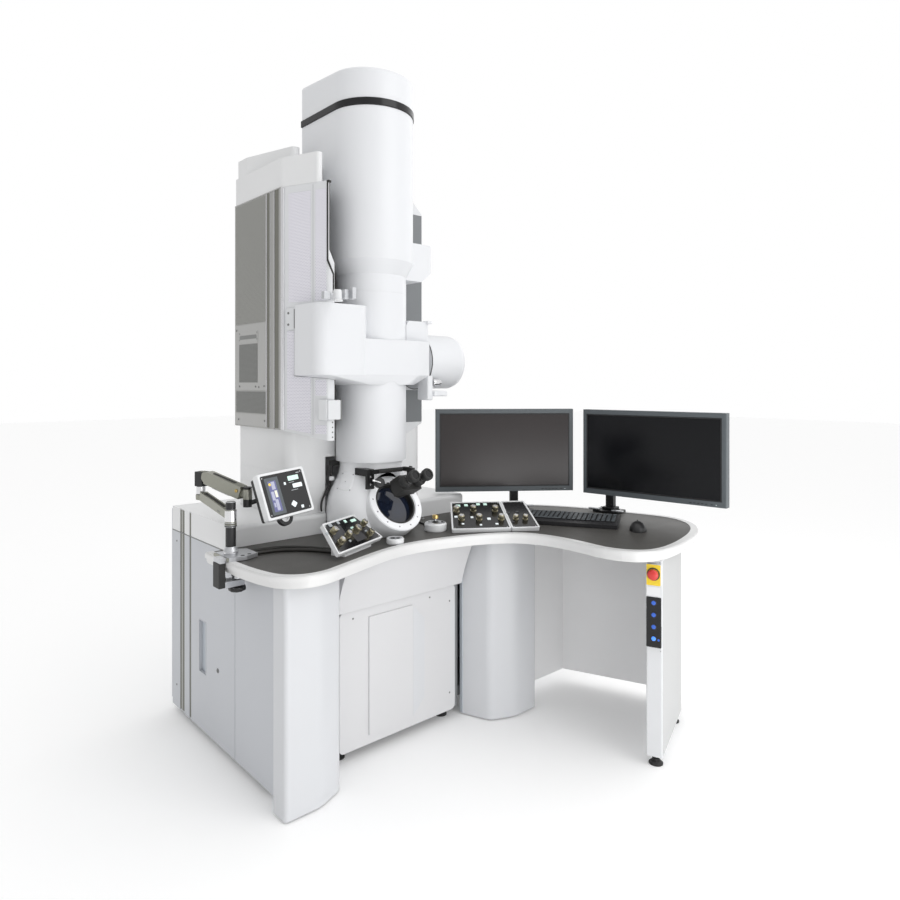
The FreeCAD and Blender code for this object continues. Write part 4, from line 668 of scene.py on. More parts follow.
# valve group on the stage housing
bm = bmesh.new()
GT = F((0, 0, 1637), (1, 0, 0), (0, 0, 1))
c = pix(337.5, 301, GT)
turned(bm, F((c[0], c[1], 1637), (1, 0, 0), (0, 0, 1)), [(0, -1), (19, -1), (19, 4), (15, 7), (15, 34), (13, 40), (0, 40)], 32)
emit("valve_cylinder", bm, ID, "plastic_white", "console", .8)
bm = bmesh.new()
for u, w, h in ((326, 26, 26), (346, 22, 32), (353, 16, 40)):
    c = pix(u, 299, GT)
    add_box(bm, c[0] - w / 2, c[0] + w / 2, c[1] - 9, c[1] + 9, 1636.5, 1637 + h)
c = pix(331, 300, GT)
turned(bm, F((c[0], c[1], 1637), (1, 0, 0), (0, 0, 1)), [(0, -1), (9, -1), (9, 22), (6, 26), (0, 26)], 18)
emit("valve_metal", bm, ID, "clamp_silver", "console", 1.6, 3)
boxes("cap_slit", [(-262, -236, 96, 106, 2190, 2192.5)], ID, "dark_frame", "console", .3)

# ------------------------------------------------------------------ console side
CF = F((-555, 0, 0), (0, -1, 0), (-1, 0, 0))
plates("side_stripes", [(rect(-446.6, -430.4, 36, 748, 0), -3.9, -1.2), (rect(-543.6, -498.4, 36, 748, 0), -3.9, -1.2),
                        (rect(-446.6, -430.4, 750, 838, 0), -2.9, -1.0), (rect(-543.6, -498.4, 750, 838, 0), -2.9, -1.0)], CF,
       "stripe_olive", "console", .4)
plates("side_stripe_light", [(rect(-528, -520, 36, 838, 0), -1.6, -.8)], CF, "side_metal_light", "console", .3)
plates("side_handle", [(rect(-349.5, -288.5, 247.5, 444.5, 0), -12.9, -12.2)], CF, "blue_gray", "console", .1)
ring("side_handle_rim", rect(-353, -285, 244, 448, 4), rect(-349, -289, 248, 444, 2), 0, 1.0, CF, "console_white", "console", .4)
bm = bmesh.new()
turned(bm, F((-555, 178, 299), (0, 1, 0), (-1, 0, 0)), [(0, -1), (8.5, -1), (8.5, 1.5), (7, 2.4), (5.5, 2.4), (5.5, .8), (0, .8)], 24)
emit("side_lock", bm, ID, "dark_frame", "console")
screws("side_screw", [(Vector((-555, 579, 706)), (-1, 0, 0)), (Vector((-555, 579, 120)), (-1, 0, 0))], "dark_frame", "console", 4, 1.4)
plates("side_seam", [(rect(-627, -62, 744.5, 748.5, 0), -.6, .4)], CF, "dark_frame", "console", .1)

# ------------------------------------------------------------------ knee recess
PF = F((0, -196, 0), (1, 0, 0), (0, -1, 0))
sp = [(353, 618.7), (429.7, 597.3), (449.5, 600.7), (449.5, 692.3)]
screws("panel_screws", [(PF @ Vector((*pix(u, v, PF), 0)), (0, -1, 0)) for u, v in sp], "dark_frame", "console", 3.6, 1.4)
# flat sheet in a slightly darker white over the door emboss's right bevel: painted shade for its curved side
plates("panel_bevel_painted_shade", [([(54, 74), (110, 132), (110, 438), (54, 496)], 5, 5.5)], PF, "pillar_white", "console", .2)
for sgn, nm in ((-1, "left"), (1, "right")):
    plates("pillar_band_" + nm, [(rect(sgn * 308.2 - 1.6, sgn * 308.2 + 1.6, 8, 727, 0), 0, 15)],
           F((0, -190, 0), (1, 0, 0), (0, -1, 0)), "blue_gray", "console", .5)
plates("side_front_strip", [(rect(-575, -556, 8, 727, 0), -.5, .5)], F((0, -287, 0), (1, 0, 0), (0, -1, 0)), "blue_gray",
       "console", .1)

# ------------------------------------------------------------------ viewing chamber
BULB = [(125, 1046), (125, 1012), (133, 985), (151, 950), (169, 905), (177, 858), (177, 812), (169, 786), (150, 767.3)]


def bulb_r(z):
    for (r0, z0), (r1, z1) in zip(BULB, BULB[1:]):
        if z1 <= z <= z0:
            t = (z0 - z) / (z0 - z1)
            return r0 + (r1 - r0) * t
    return 150


def bulb_patch(name, a0, a1, z0, z1, grow, material, body="console"):
    bm = bmesh.new()
    NA, NZ = 18, 14
    grid = []
    for i in range(NA + 1):
        row = []
        for j in range(NZ + 1):
            x, y = 2 * i / NA - 1, 2 * j / NZ - 1
            # superellipse corners
            k = max(abs(x), abs(y))
            q = (abs(x) ** 6 + abs(y) ** 6) ** (1 / 6) or 1
            x, y = x * k / q, y * k / q
            a = math.radians((a0 + a1) / 2 + (a1 - a0) / 2 * x)
            z = (z0 + z1) / 2 + (z1 - z0) / 2 * y
            edge = max(abs(2 * i / NA - 1), abs(2 * j / NZ - 1))
            r = bulb_r(z) + (grow if edge < .99 else -1.0)
            row.append(bm.verts.new(Vector((r * math.cos(a), r * math.sin(a), z))))
        grid.append(row)
    for i in range(NA):
        for j in range(NZ):
            bm.faces.new((grid[i][j], grid[i + 1][j], grid[i + 1][j + 1], grid[i][j + 1]))
    return emit(name, bm, ID, material, body)


bulb_patch("chamber_plate", 176, 206, 938, 1006, 2.4, "chamber_white")
sc = []
for a, z in ((178.5, 944), (203.5, 944), (178.5, 1000), (203.5, 1000), (191, 972)):
    r = bulb_r(z) + 2.2
    ar = math.radians(a)
    sc.append((Vector((r * math.cos(ar), r * math.sin(ar), z)), (math.cos(ar), math.sin(ar), .35)))
screws("chamber_plate_screws", sc, "steel", "console", 2.6, 1)
boxes("chamber_cable_block", [(-146, -97, 70, 80, 1024, 1046)], ID, "black_soft", "console", 2, 3)
tube("chamber_cable", [(-137, 74, 1036), (-138, 74, 1000), (-142, 74, 968), (-156, 74, 935), (-182, 72, 896), (-192, 64, 862), (-190, 60, 852)], 4.0, "black_soft", "console")
boxes("chamber_cable_plug", [(-152, -134, 58, 70, 968, 984)], ID, "plastic_white", "console", 2, 3)
screws("bracket_screws", [(Vector((-102, -141.4, 970)), (0, -1, 0)), (Vector((-102, -141.4, 998)), (0, -1, 0))], "steel",
       "console", 4.2, 2)

ring_pts = []
for k in range(13):
    a = math.pi + math.pi / 2 * k / 12
    ring_pts.append((math.cos(a), math.sin(a)))
bm = bmesh.new()
arc = [(-285 + 47.2 * c, -104 + 47.2 * s) for c, s in ring_pts] + [(-285 + 45.2 * c, -104 + 45.2 * s) for c, s in reversed(ring_pts)]
add_prism(bm, [Vector(q) for q in ccw(arc)], 1386, 1632)
emit("gonio_corner_skin", bm, ID, "column_white", "console", .4)

# ---------------------------------------------------------------- backs of the tower and the cabinet
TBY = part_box("tower_side_panels")[1][1] * 1000 - 159.3
TB = F((0, TBY, 0), (-1, 0, 0), (0, 1, 0))
plates("tower_back_doors", [(rect(-318, -2, 1196, 2066, 8), 0, 1.6), (rect(2, 318, 1196, 2066, 8), 0, 1.6)], TB, "side_metal", "console", .5)
plates("tower_back_vents", [(rect(sx - 96, sx + 96, z, z + 7, 3.4), 1.6, 1.85) for sx in (-160, 160) for z in range(1250, 1470, 20)] +
       [(rect(sx - 96, sx + 96, z, z + 7, 3.4), 1.6, 1.85) for sx in (-160, 160) for z in range(1880, 2020, 20)], TB, "black_soft", "console", .1)
plates("tower_back_latches", [(rect(-34, -16, 1600, 1660, 5), 1.6, 5.5), (rect(16, 34, 1600, 1660, 5), 1.6, 5.5)], TB, "black_plastic", "console", 1.2)
screws("tower_back_screws", [(Vector((x, TBY + 1.6, z)), (0, 1, 0)) for x in (-300, -20, 20, 300) for z in (1214, 2048)], "steel", "console", 4, 1.6)
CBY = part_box("console_panels")[1][1] * 1000 - 159.3
CB = F((0, CBY, 0), (-1, 0, 0), (0, 1, 0))
plates("cabinet_back_doors", [(rect(-534, -184, 66, 722, 8), 0, 1.6), (rect(-178, 178, 66, 722, 8), 0, 1.6), (rect(184, 534, 66, 722, 8), 0, 1.6)],
       CB, "console_white", "console", .5)
plates("cabinet_back_vents", [(rect(sx - 110, sx + 110, z, z + 7, 3.4), 1.6, 1.85) for sx in (-359, 0, 359) for z in range(110, 270, 20)],
       CB, "black_soft", "console", .1)
plates("cabinet_back_sockets", [(rect(-90, 90, 420, 560, 6), 1.6, 3.2)], CB, "dark_frame", "console", .6)
bm = bmesh.new()
for x in (-60, -20, 20, 60):
    for z in (455, 525):
        turned(bm, F((x, CBY + 3.2, z), (1, 0, 0), (0, 1, 0)), [(0, 0), (13, 0), (13, 5), (11, 6.5), (8.5, 6.5), (8.5, 2), (0, 2)], 24)
emit("cabinet_back_plugs", bm, ID, "black_plastic", "console", .2)
screws("cabinet_back_screws", [(Vector((x, CBY + 1.6, z)), (0, 1, 0)) for x in (-516, -200, -160, 160, 200, 516) for z in (84, 704)],
       "steel", "console", 4, 1.6)

plates("wing_gasket", [(quad(WF, [(327.0, 180), (328.5, 180), (328.5, 259), (334.3, 273.5), (334.3, 297), (333.0, 297), (333.0, 274.5),
                                  (327.0, 260.5)]), .7, 2.0)], WF, "black_soft", "console", .2)
glass_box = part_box("viewing_glass")
GR = (glass_box[1][0] - glass_box[0][0]) * 500 + .3
FRR, GZ = (135, 892) if GR > 96 else (116, 884)
print("window", GR, FRR, GZ)
WT = math.radians(35)
WN = Vector((0, -math.cos(WT), math.sin(WT)))
GF = F((0, -150, GZ), (1, 0, 0), WN)
circ = lambda r, n=72: [(r * math.cos(2 * math.pi * k / n), r * math.sin(2 * math.pi * k / n), 0) for k in range(n)]
ring("window_gasket", circ(GR + 1.5), circ(GR - 7), -15, 12.5, GF, "black_soft", "console", 1.0)
ring("window_flange", circ(FRR - 1.5), circ(GR + 2), 13.6, 17.5, GF, "chamber_white", "console", 1.6, 3)
sp = [(370.5, 489), (368, 494), (375.5, 511), (414, 505), (417, 492)]
ws = []
for k in range(12):
    a = math.radians(15 + 30 * k)
    ws.append((GF @ Vector(((FRR - 15) * math.cos(a), (FRR - 15) * math.sin(a), 17.5)), WN))
screws("window_screws", ws, "steel", "console", 3.2, 1.6)

# binocular: eyecups, rings and the swing bracket's knob
BDV = Vector((0, -.66, .75) if GR > 96 else (0, -.89, .456)).normalized()
BOV = Vector((0, -214, 925) if GR > 96 else (0, -196, 953))
bm = bmesh.new()
for sx in (-31, 31):
    o = BOV + Vector((sx, 0, 0)) + BDV * 58
    fr = F(o, (1, 0, 0), BDV)
    turned(bm, fr, [(20, 60), (22, 62), (23, 70), (23, 79), (20, 83), (15, 84), (14, 80), (0, 79)], 36)
    turned(bm, fr, [(21.2, 6), (22.6, 8), (22.6, 28), (21.2, 30)], 36)
emit("binocular_cups", bm, ID, "rubber", "binocular", .5)
bm = bmesh.new()
for sx in (-31, 31):
    o = BOV + Vector((sx, 0, 0)) + BDV * 58
    fr = F(o, (1, 0, 0), BDV)
    turned(bm, fr, [(17.1, 40), (18.4, 41), (18.4, 47), (17.1, 48)], 36)
    turned(bm, fr, [(0, 80.2), (13, 80.2), (13, 80.6), (0, 81.4)], 28)
emit("binocular_rings", bm, ID, "black_gloss", "binocular", .2)
bm = bmesh.new()
turned(bm, F((-92, -176, 978), (1, 0, 0), (-.3, -.9, .2)), [(0, 0), (17, 0), (19, 3), (19, 22), (16, 26), (0, 27)], 32)
emit("bracket_knob", bm, ID, "black_plastic", "console", .8)
boxes("bracket_knob_foot", [(-100, -84, -176, -140, 968, 986)], ID, "black_metal", "console", 2, 3)
bm = bmesh.new()
turned(bm, F((-101, -198, 984), (1, 0, 0), (-1, .1, .35)), [(0, -3), (3.4, -3), (3.2, 20), (4.6, 26), (3.6, 31), (0, 32)], 16)
emit("bracket_lever", bm, ID, "chrome", "console")
boxes("bracket_bar", [(-70, 44, -152, -146, 1010, 1022)], ID, "black_soft", "console", 2, 3)

# silver bolts at the chamber's foot
FZ = F((0, 0, 767), (1, 0, 0), (0, 0, 1))
c = pix(418, 521, FZ)
bm = bmesh.new()
turned(bm, F((c[0], c[1], 767), (1, 0, 0), (0, 0, 1)), [(0, 0), (9, 0), (9, 3), (6, 4), (6, 13), (0, 14)], 20)
c = pix(423, 519, FZ)
turned(bm, F((c[0], c[1], 767), (1, 0, 0), (0, 0, 1)), [(0, 0), (7, 0), (7, 3), (5, 4), (5, 10), (0, 11)], 20)
emit("foot_bolts", bm, ID, "steel", "console", .4)

# ------------------------------------------------------------------ display arm
PX, PY = -615, -63
PO = F((PX, PY, 0), (1, 0, 0), (0, 0, 1))


def sleeve(name, r0, r1, z0, z1, frm, material, body, lip=.6, n=40):
    bm = bmesh.new()
    loops = []
    for r, z in ((r0, z0), (r1 - lip, z0), (r1, z0 + lip), (r1, z1 - lip), (r1 - lip, z1), (r0, z1)):
        loops.append([bm.verts.new(Vector((r * math.cos(2 * math.pi * k / n), r * math.sin(2 * math.pi * k / n), z)))
                      for k in range(n)])
    for q in range(6):
        lo, hi = loops[q], loops[(q + 1) % 6]
        for k in range(n):
            bm.faces.new((lo[k], lo[(k + 1) % n], hi[(k + 1) % n], hi[k]))
    return emit(name, bm, frm, material, body)


sleeve("post_tube", 15.8, 16.8, 806, 870.5, PO, "black_plastic", "console")
sleeve("post_cap", 15.2, 16.4, 928.5, 953.5, PO, "black_plastic", "console", 1.5)
sleeve("post_ring", 18.8, 19.8, 872, 876, PO, "black_soft", "console")
sleeve("post_ring_green", 18.8, 19.4, 877, 884.5, PO, "stripe_olive", "console")
sleeve("post_hub", 18.3, 19.3, 888.5, 926.5, PO, "chrome", "arm_lower", 1.4)
sleeve("post_foot", 23.8, 24.8, 782, 791, PO, "chrome", "console", 2.2)
screws("hub_screw", [(Vector((PX + 8, PY - 17.4, 896)), (.4, -.9, 0))], "black_metal", "arm_lower", 2.6, 1.2)
plates("clamp_skin", [([(-647, -14, 5), (-647, -119, 5), (-591, -131, 5), (-543, -112, 4), (-543, -31, 4), (-577, -14, 4)], 781, 782.2)],
       F((0, 0, 0), (1, 0, 0), (0, 0, 1)), "clamp_silver", "console", .8)
bm = bmesh.new()
for x, y in ((-598, -117), (-572, -111)):
    turned(bm, F((x, y, 782), (1, 0, 0), (0, 0, 1)), [(0, 0), (6.5, 0), (6.5, .6), (0, .7)], 20)
emit("clamp_holes", bm, ID, "black_soft", "console")
boxes("clamp_edge", [(-652, -647.5, -121, -11, 769.5, 781)], ID, "arm_aluminium", "console", 1)
bm = bmesh.new()
prof = [(-677.4, 684), (-655, 684), (-655, 700), (-652, 712), (-655, 724), (-655, 766), (-677.4, 766)]
add_prism(bm, [Vector(p) for p in ccw(prof)], -.8, 46.8)
emit("clamp_cover", bm, F((0, -66, 0), (1, 0, 0), (0, -1, 0)), "black_soft", "console", 2.2, 3)
boxes("clamp_jaw", [(-655, -589, -113, -69, 682.5, 704)], ID, "clamp_silver", "console", 2, 3)
bm = bmesh.new()
turned(bm, F((-605, -91, 0), (1, 0, 0), (0, 0, 1)), [(0, 661), (20, 661), (28.5, 665), (29.5, 672), (28, 679), (22, 681.6), (0, 681.6)], 9)
emit("clamp_knob", bm, ID, "black_plastic", "console", 2.2, 3)
sleeve("clamp_screw", 7.8, 8.8, 706, 722, F((-605, -91, -16), (1, 0, 0), (0, 0, 1)), "steel", "console")

# lower arm: dark channel with cable, trim plate
bm = bmesh.new()
add_prism(bm, ccw([(-16, 921), (-16, 931), (146, 957.5), (146, 948)]), 8.5, 17.5)
emit("lower_channel", bm, F((-628, 0, 0), (0, 1, 0), (1, 0, 0)), "black_soft", "arm_lower", .6)
bm = bmesh.new()
add_prism(bm, ccw([(-4, 911), (-4, 916), (16, 919.3), (16, 914.3)]), -.6, 1)
emit("lower_slot", bm, F((-628, 0, 0), (0, 1, 0), (1, 0, 0)), "dark_frame", "arm_lower", .3)
EO = F((PX, 186, 0), (1, 0, 0), (0, 0, 1))
sleeve("elbow_chrome", 14.8, 15.8, 951, 979.5, EO, "chrome", "arm_elbow", 1.2)
sleeve("elbow_foot", 16.8, 17.8, 932, 949, EO, "arm_aluminium", "arm_lower", 1.0)

EL = Vector((-612.1, 178.54, 1022))
TIP = Vector((-535, -20, 966))
AD = (TIP - EL).normalized()
AS = AD.cross(Vector((0, 0, 1))).normalized()
AU = AS.cross(AD).normalized()
AL = (TIP - EL).length
AF = Matrix((AD, -AS, AU)).transposed().to_4x4()
AF.translation = EL
UA = AF
for nm, y0 in (("a", -17.9), ("b", 16.9)):
    bm = bmesh.new()
    add_prism(bm, [Vector((p[0], p[1])) for p in rounded(ccw([(14, -10, 8), (34, -24.5, 8), (AL - 22, -24.5, 9), (AL - 19, 20.5, 9),
                                                               (34, 20.5, 8), (12, 12, 8)]))], 0, 1.0)
    m = AF @ Matrix(((1, 0, 0, 0), (0, 0, -1, y0 + (1.0 if y0 > 0 else 1.0)), (0, 1, 0, 0), (0, 0, 0, 1)))
    emit("upper_side_" + nm, bm, m, "arm_aluminium", "arm_upper", .5)
bm = bmesh.new()
add_box(bm, 42, AL - 38, -12.8, 12.8, -27, -22)
emit("upper_under", bm, AF, "black_soft", "arm_upper", 1.0)
bm = bmesh.new()
add_box(bm, 60, 112, -5, 3, -29.6, -27.1, 0)
add_box(bm, 60, 112, 4, 8, -29.6, -27.1, 1)
add_box(bm, 66, 150, -12, -6, -29.6, -27.1, 2)
emit("upper_stripes", bm, AF, ["yellow_plate", "core_green", "plastic_white"], "arm_upper", .4)
bm = bmesh.new()
for x, r in ((AL - 36, 6),):
    turned(bm, AF @ F((x, -18, 2), (1, 0, 0), (0, -1, 0)), [(0, 0), (r, 0), (r, 2.2), (r * .6, 2.8), (r * .5, 1.6), (0, 1.6)], 18)
emit("upper_brass", bm, ID, "brass", "arm_upper")
bm = bmesh.new()
turned(bm, AF @ F((0, -15.5, 0), (1, 0, 0), (0, -1, 0)), [(0, -2.5), (9, -2.5), (9, .6), (6.5, 1.2), (4, 1.2), (3.5, .2), (0, .2)], 24)
emit("elbow_screw", bm, ID, "steel", "arm_upper")
plates("upper_top_slot", [(rect(52, AL - 60, -6, 6, 4), 20.4, 21.2)], AF, "black_soft", "arm_upper", .2)

# ------------------------------------------------------------------ display
YAW, PIT, ROL = .115, .360, .077
DNV = Vector((math.sin(YAW) * math.cos(PIT), -math.cos(YAW) * math.cos(PIT), math.sin(PIT)))
R0V = Vector((math.cos(YAW), math.sin(YAW), 0))
U0V = R0V.cross(-DNV)
if U0V.z < 0:
    U0V = -U0V
DRV = R0V * math.cos(ROL) + U0V * math.sin(ROL)
DF = F((-449.2, -133.7, 974.7), DRV, DNV)
ring("display_rim", rect(-94.6, 94.6, -79.6, 79.6, 11), rect(-86, 86, -71.5, 71.5, 6), -.5, 2.2, DF, "plastic_white", "display", 1.0)
plates("display_face", [(rect(-86.5, 86.5, -72, 72, 6), -.3, .7)], DF, "black_plastic", "display", .1)
plates("display_bezel", [(rect(-72, -18, -66, 62, 2), .7, 1.3)], DF, "bezel_gray", "display", .3)
plates("display_lcd", [(rect(-62, -30, -56, 50, 1), 1.3, 1.6)], DF, "lcd_violet", "display", .1)
plates("lcd_shapes", [(rect(-60, -51, 34, 44, 4), 1.6, 1.75, 0), (rect(-50, -36, 20, 47, 1), 1.6, 1.75, 1),
                      (rect(-44, -34, -8, 16, 1), 1.6, 1.75, 2), (rect(-58, -47, -16, 14, 2), 1.6, 1.75, 1),
                      (rect(-50, -38, -52, -14, 3), 1.6, 1.75, 1), (rect(-58, -52, -40, -24, 2), 1.6, 1.75, 1)], DF,
       ["lcd_yellow", "lcd_light", "lcd_beige"], "display", 0)


def key_at(u0, v0, u1, v1, frm, z, grow=0, squeeze=.62):
    """Rectangle on a frame between the picture points of its opposite corners."""
    a, b = pix(u0, v0, frm, z), pix(u1, v1, frm, z)
    my, hy = (a[1] + b[1]) / 2, abs(a[1] - b[1]) / 2 * squeeze
    return (min(a[0], b[0]) - grow, max(a[0], b[0]) + grow, my - hy - grow, my + hy + grow)


dk = [(rect(*key_at(286.5, 475, 299, 480, DF, .7), 2), .7, 2.0, 0), (rect(*key_at(283.2, 481.5, 286.3, 485.5, DF, .7), 1), .7, 2.0, 1),
      (rect(*key_at(291.8, 482.5, 302.7, 487, DF, .7), 2), .7, 2.0, 1), (rect(*key_at(300.8, 504, 304.5, 508, DF, .7), 1), .7, 2.0, 1)]
kd = pix(294.3, 503.6, DF, .7)
dk.append(([(kd[0] - 13, kd[1], 2.5), (kd[0], kd[1] + 13, 2.5), (kd[0] + 13, kd[1], 2.5), (kd[0], kd[1] - 13, 2.5)], .7, 2.2, 1))
print("display keys", [[round(c, 1) for c in q[0][0][:2]] for q in dk])
plates("display_keys", dk, DF, ["led_mint", "led_white"], "display", .5)
plates("display_marks", [(rect(24, 52, 3, 5, 0), .7, .95), (rect(22, 44, 31, 33, 0), .7, .95), (rect(60, 74, 60, 63, 1), .7, .95)], DF,
       "key_gray", "display", 0)
screws("display_screws", [(DF @ Vector((x, y, .7)), DNV) for x in (-79, 79) for y in (-64, 64)], "steel", "display", 2.6, 1.2)
plates("display_back_slab", [(rect(-92, -34, -78, 72, 7), -47.5, -27)], DF, "black_plastic", "display", 3, 3)
bm = bmesh.new()
pts = [(30 * math.cos(a), 30 * math.sin(a), 0) for a in [math.pi + k * math.pi / 16 for k in range(17)]]
pts += [(17 * math.cos(a), 17 * math.sin(a), 0) for a in [2 * math.pi - k * math.pi / 16 for k in range(17)]]
add_prism(bm, [Vector((p[0] - 10, p[1] - 76)) for p in ccw([(q[0], q[1]) for q in pts])], -40, -24)
emit("display_grip", bm, DF, "black_plastic", "display", 2.0, 3)

# ------------------------------------------------------------------ control boxes


def tilted(cx, cy, cz, xd, tilt):
    x = Vector((xd[0], xd[1], 0)).normalized()
    y = Vector((-x.y, x.x, 0))
    t = math.radians(tilt)
    z = Vector((0, 0, 1)) * math.cos(t) - y * math.sin(t)
    yy = y * math.cos(t) + Vector((0, 0, 1)) * math.sin(t)
    m = Matrix((x, yy, z)).transposed().to_4x4()
    m.translation = Vector((cx, cy, cz))
    return m


def box_frame(fx, fy, yaw, tilt, depth, zf):
    x = Vector((math.cos(math.radians(yaw)), math.sin(math.radians(yaw)), 0))
    back = Vector((-x.y, x.x, 0))
    t = math.radians(tilt)
    mid = Vector((fx, fy, zf)) + (back * math.cos(t) + Vector((0, 0, math.sin(t)))) * (depth / 2)
    return tilted(mid.x, mid.y, mid.z, (x.x, x.y), tilt)


def trap(width, narrow, depth, u0, u1, inset, r=5):
    def at(u, v):
        half = width / 2 * (1 - (1 - narrow) * v)
        return (u * half, -depth / 2 + v * depth)
    a, b, c, d = at(u0, 0), at(u1, 0), at(u1, 1), at(u0, 1)
    return [(a[0] + inset, a[1] + inset, r), (b[0] - inset, b[1] + inset, r), (c[0] - inset, c[1] - inset, r),
            (d[0] + inset, d[1] - inset, r)]


FL = box_frame(-242, -289, 23.4, 40.2, 128, 790)
FR = box_frame(327, -379, -34.4, 20, 210, 783)
FLZ = Vector((FL[0][2], FL[1][2], FL[2][2]))
FRZ = Vector((FR[0][2], FR[1][2], FR[2][2]))
plates("box_left_face", [(trap(286, .68, 128, -1, 1, 6.4), -1.95, -1.75)], FL, "black_gloss", "console", 0)
plates("box_right_face", [(trap(350, .89, 210, -1, .345, 6.4), -1.95, -1.75), (trap(350, .89, 210, .355, 1, 6.4), -1.95, -1.75)], FR,
       "black_gloss", "console", 0)
plates("box_left_panel", [([(-100, -8, 4), (-24, -8, 4), (-16, 40, 4), (-84, 40, 4)], -1.75, -1.6),
                          ([(-4, -44, 4), (62, -44, 4), (56, 0, 4), (-2, 0, 4)], -1.75, -1.6)], FL, "key_dark", "console", 0)


def keys(name, frm, items, material):
    out = []
    for u0, v0, u1, v1 in items:
        x0, x1, y0, y1 = key_at(u0, v0, u1, v1, frm, -1.6)
        out.append((rect(x0, x1, y0, y1, 1.5), -1.75, .8))
    return plates(name, out, frm, material, "console", .6)


def key_list(name, frm, items, material):
    return plates(name, [(rect(x - w / 2, x + w / 2, y - h / 2, y + h / 2, 1.5), -1.75, 1.0) for x, y, w, h in items], frm,
                  material, "console", .6)


def at_px(frm, spots):
    return [(*pix(u, v, frm, -1.6), w, h) for u, v, w, h in spots]


key_list("box_left_keys_gray", FL, at_px(FL, [(330, 525.5, 17, 13), (338, 523, 13, 12), (327, 534, 12, 10)]), "key_gray")
key_list("box_left_keys_mint", FL, at_px(FL, [(345, 521.5, 12, 12), (353, 520.5, 30, 11), (352, 528, 16, 8)]), "led_mint")
key_list("box_left_keys_white", FL, at_px(FL, [(338, 529.5, 10, 7), (366, 531, 12, 7), (350, 541, 9, 8)]), "key_gray")
key_list("box_main_keys_mint", FR, at_px(FR, [(458, 506, 18, 15), (466, 505.5, 15, 14), (478, 504.5, 15, 14), (485, 504.5, 15, 14)]),
         "led_mint")
key_list("box_main_keys_gray", FR, at_px(FR, [(456, 517, 13, 12), (472, 517.5, 11, 11), (489, 519, 14, 14), (495, 507, 12, 10),
                                              (463, 524, 10, 8), (481, 525, 10, 8), (497, 524, 12, 9)]), "led_white")
key_list("box_aux_keys", FR, at_px(FR, [(508, 513, 14, 12), (517, 512, 14, 12), (513, 522, 12, 10)]), "key_dark")
for nm, fr, zz, pts in (("box_left_screws", FL, FLZ, [(-126, -54), (126, -54), (-88, 54), (88, 54)]),
                        ("box_right_screws", FR, FRZ, [(-162, -94), (46, -94), (-142, 94), (42, 94), (72, -94), (160, -94), (66, 94), (142, 94)])):
    screws(nm, [(fr @ Vector((x, y, -1.75)), zz) for x, y in pts], "steel", "console", 2.8, 1.2)

# knurled skirts and index marks on the knobs ride on their own bodies
LEFT = [(-82, 22), (-88, -24), (-30, -10), (28, -4), (96, 12), (88, -32)]
MAIN = [(-140, 32), (-70, 35), (19, 30), (-128, -34), (-57, -34), (32, -38)]
AUX = [(91, -38), (130, -40)]
for tag, fr, spots, rr, hh in (("left", FL, LEFT, 10.5, 17), ("main", FR, MAIN, 11.5, 18), ("aux", FR, AUX, 10, 15)):
    for i, (x, y) in enumerate(spots):
        r, h = (13, 21) if (tag == "left" and i == 3) else (rr, hh)
        bm = bmesh.new()
        n = 30
        lo, hi, cap = [], [], []
        for k in range(2 * n):
            a = math.pi * k / n
            q = r + (.75 if k % 2 else .15)
            for lst, z in ((lo, 10), (hi, h + 3)):
                lst.append(bm.verts.new(Vector((q * math.cos(a), q * math.sin(a), z))))
        bi = [bm.verts.new(Vector(((r - .4) * math.cos(math.pi * k / n), (r - .4) * math.sin(math.pi * k / n), 9.4))) for k in range(2 * n)]
        ti = [bm.verts.new(Vector(((r - .4) * math.cos(math.pi * k / n), (r - .4) * math.sin(math.pi * k / n), h + 3.8))) for k in range(2 * n)]
        for a_, b_ in ((bi, lo), (lo, hi), (hi, ti), (ti, bi)):
            for k in range(2 * n):
                bm.faces.new((a_[k], a_[(k + 1) % (2 * n)], b_[(k + 1) % (2 * n)], b_[k]))
        m = fr @ Matrix.Translation(Vector((x, y, -1.7)))
        emit("knurl_%s_%d" % (tag, i + 1), bm, m, "knob_metal", "knob_%s_%d" % (tag, i + 1), 0)
        bm = bmesh.new()
        add_lathe(bm, [(0, h + 5.4), (r - 3, h + 5.4), (r - 3, h + 5.9), (r - 4.5, h + 6.1), (r - 5, h + 5.7), (0, h + 5.7)], 28)
        add_box(bm, -.8, .8, r * .25, r - 3.4, h + 5.9, h + 6.3)
        emit("knobcap_%s_%d" % (tag, i + 1), bm, m, "steel", "knob_%s_%d" % (tag, i + 1), 0)

# ------------------------------------------------------------------ pods, keyboard, mouse
bm = bmesh.new()
add_lathe(bm, [(18, 32.1), (38, 32.1), (38.6, 32.6), (38, 33.0), (18, 33.0), (17.4, 32.6)], 40)
emit("joystick_dial", bm, F((176, -190, 767), (1, 0, 0), (0, 0, 1)), "clamp_silver", "console")
bm = bmesh.new()
add_lathe(bm, [(4, 29.5), (15.5, 28.5), (15.5, 30), (8, 36), (4.2, 37)], 32)
emit("joystick_boot", bm, F((176, -190, 767), (1, 0, 0), (0, 0, 1)), "rubber", "console")
bm = bmesh.new()
add_lathe(bm, [(4.1, 44.2), (12.5, 48), (12.6, 60), (9, 62.2), (0, 62.6)], 32)
emit("joystick_cap", bm, F((176, -190, 767), (1, 0, 0), (0, 0, 1)), "brass", "joystick")
plates("joystick_keys", [(rect(-30, -22, -6, 6, 2), 33, 34.4), (rect(22, 30, -6, 6, 2), 33, 34.4), (rect(-6, 6, 22, 30, 2), 33, 34.4)],
       F((176, -190, 767), (.8, -.6, 0), (0, 0, 1)), "black_plastic", "console", .5)
plates("pod_top", [([(25 * math.cos(k * math.pi / 18), 25 * math.sin(k * math.pi / 18), 0) for k in range(36)], 18, 18.8)],
       F((-78, -261, 767), (1, 0, 0), (0, 0, 1)), "clamp_silver", "console", .3)
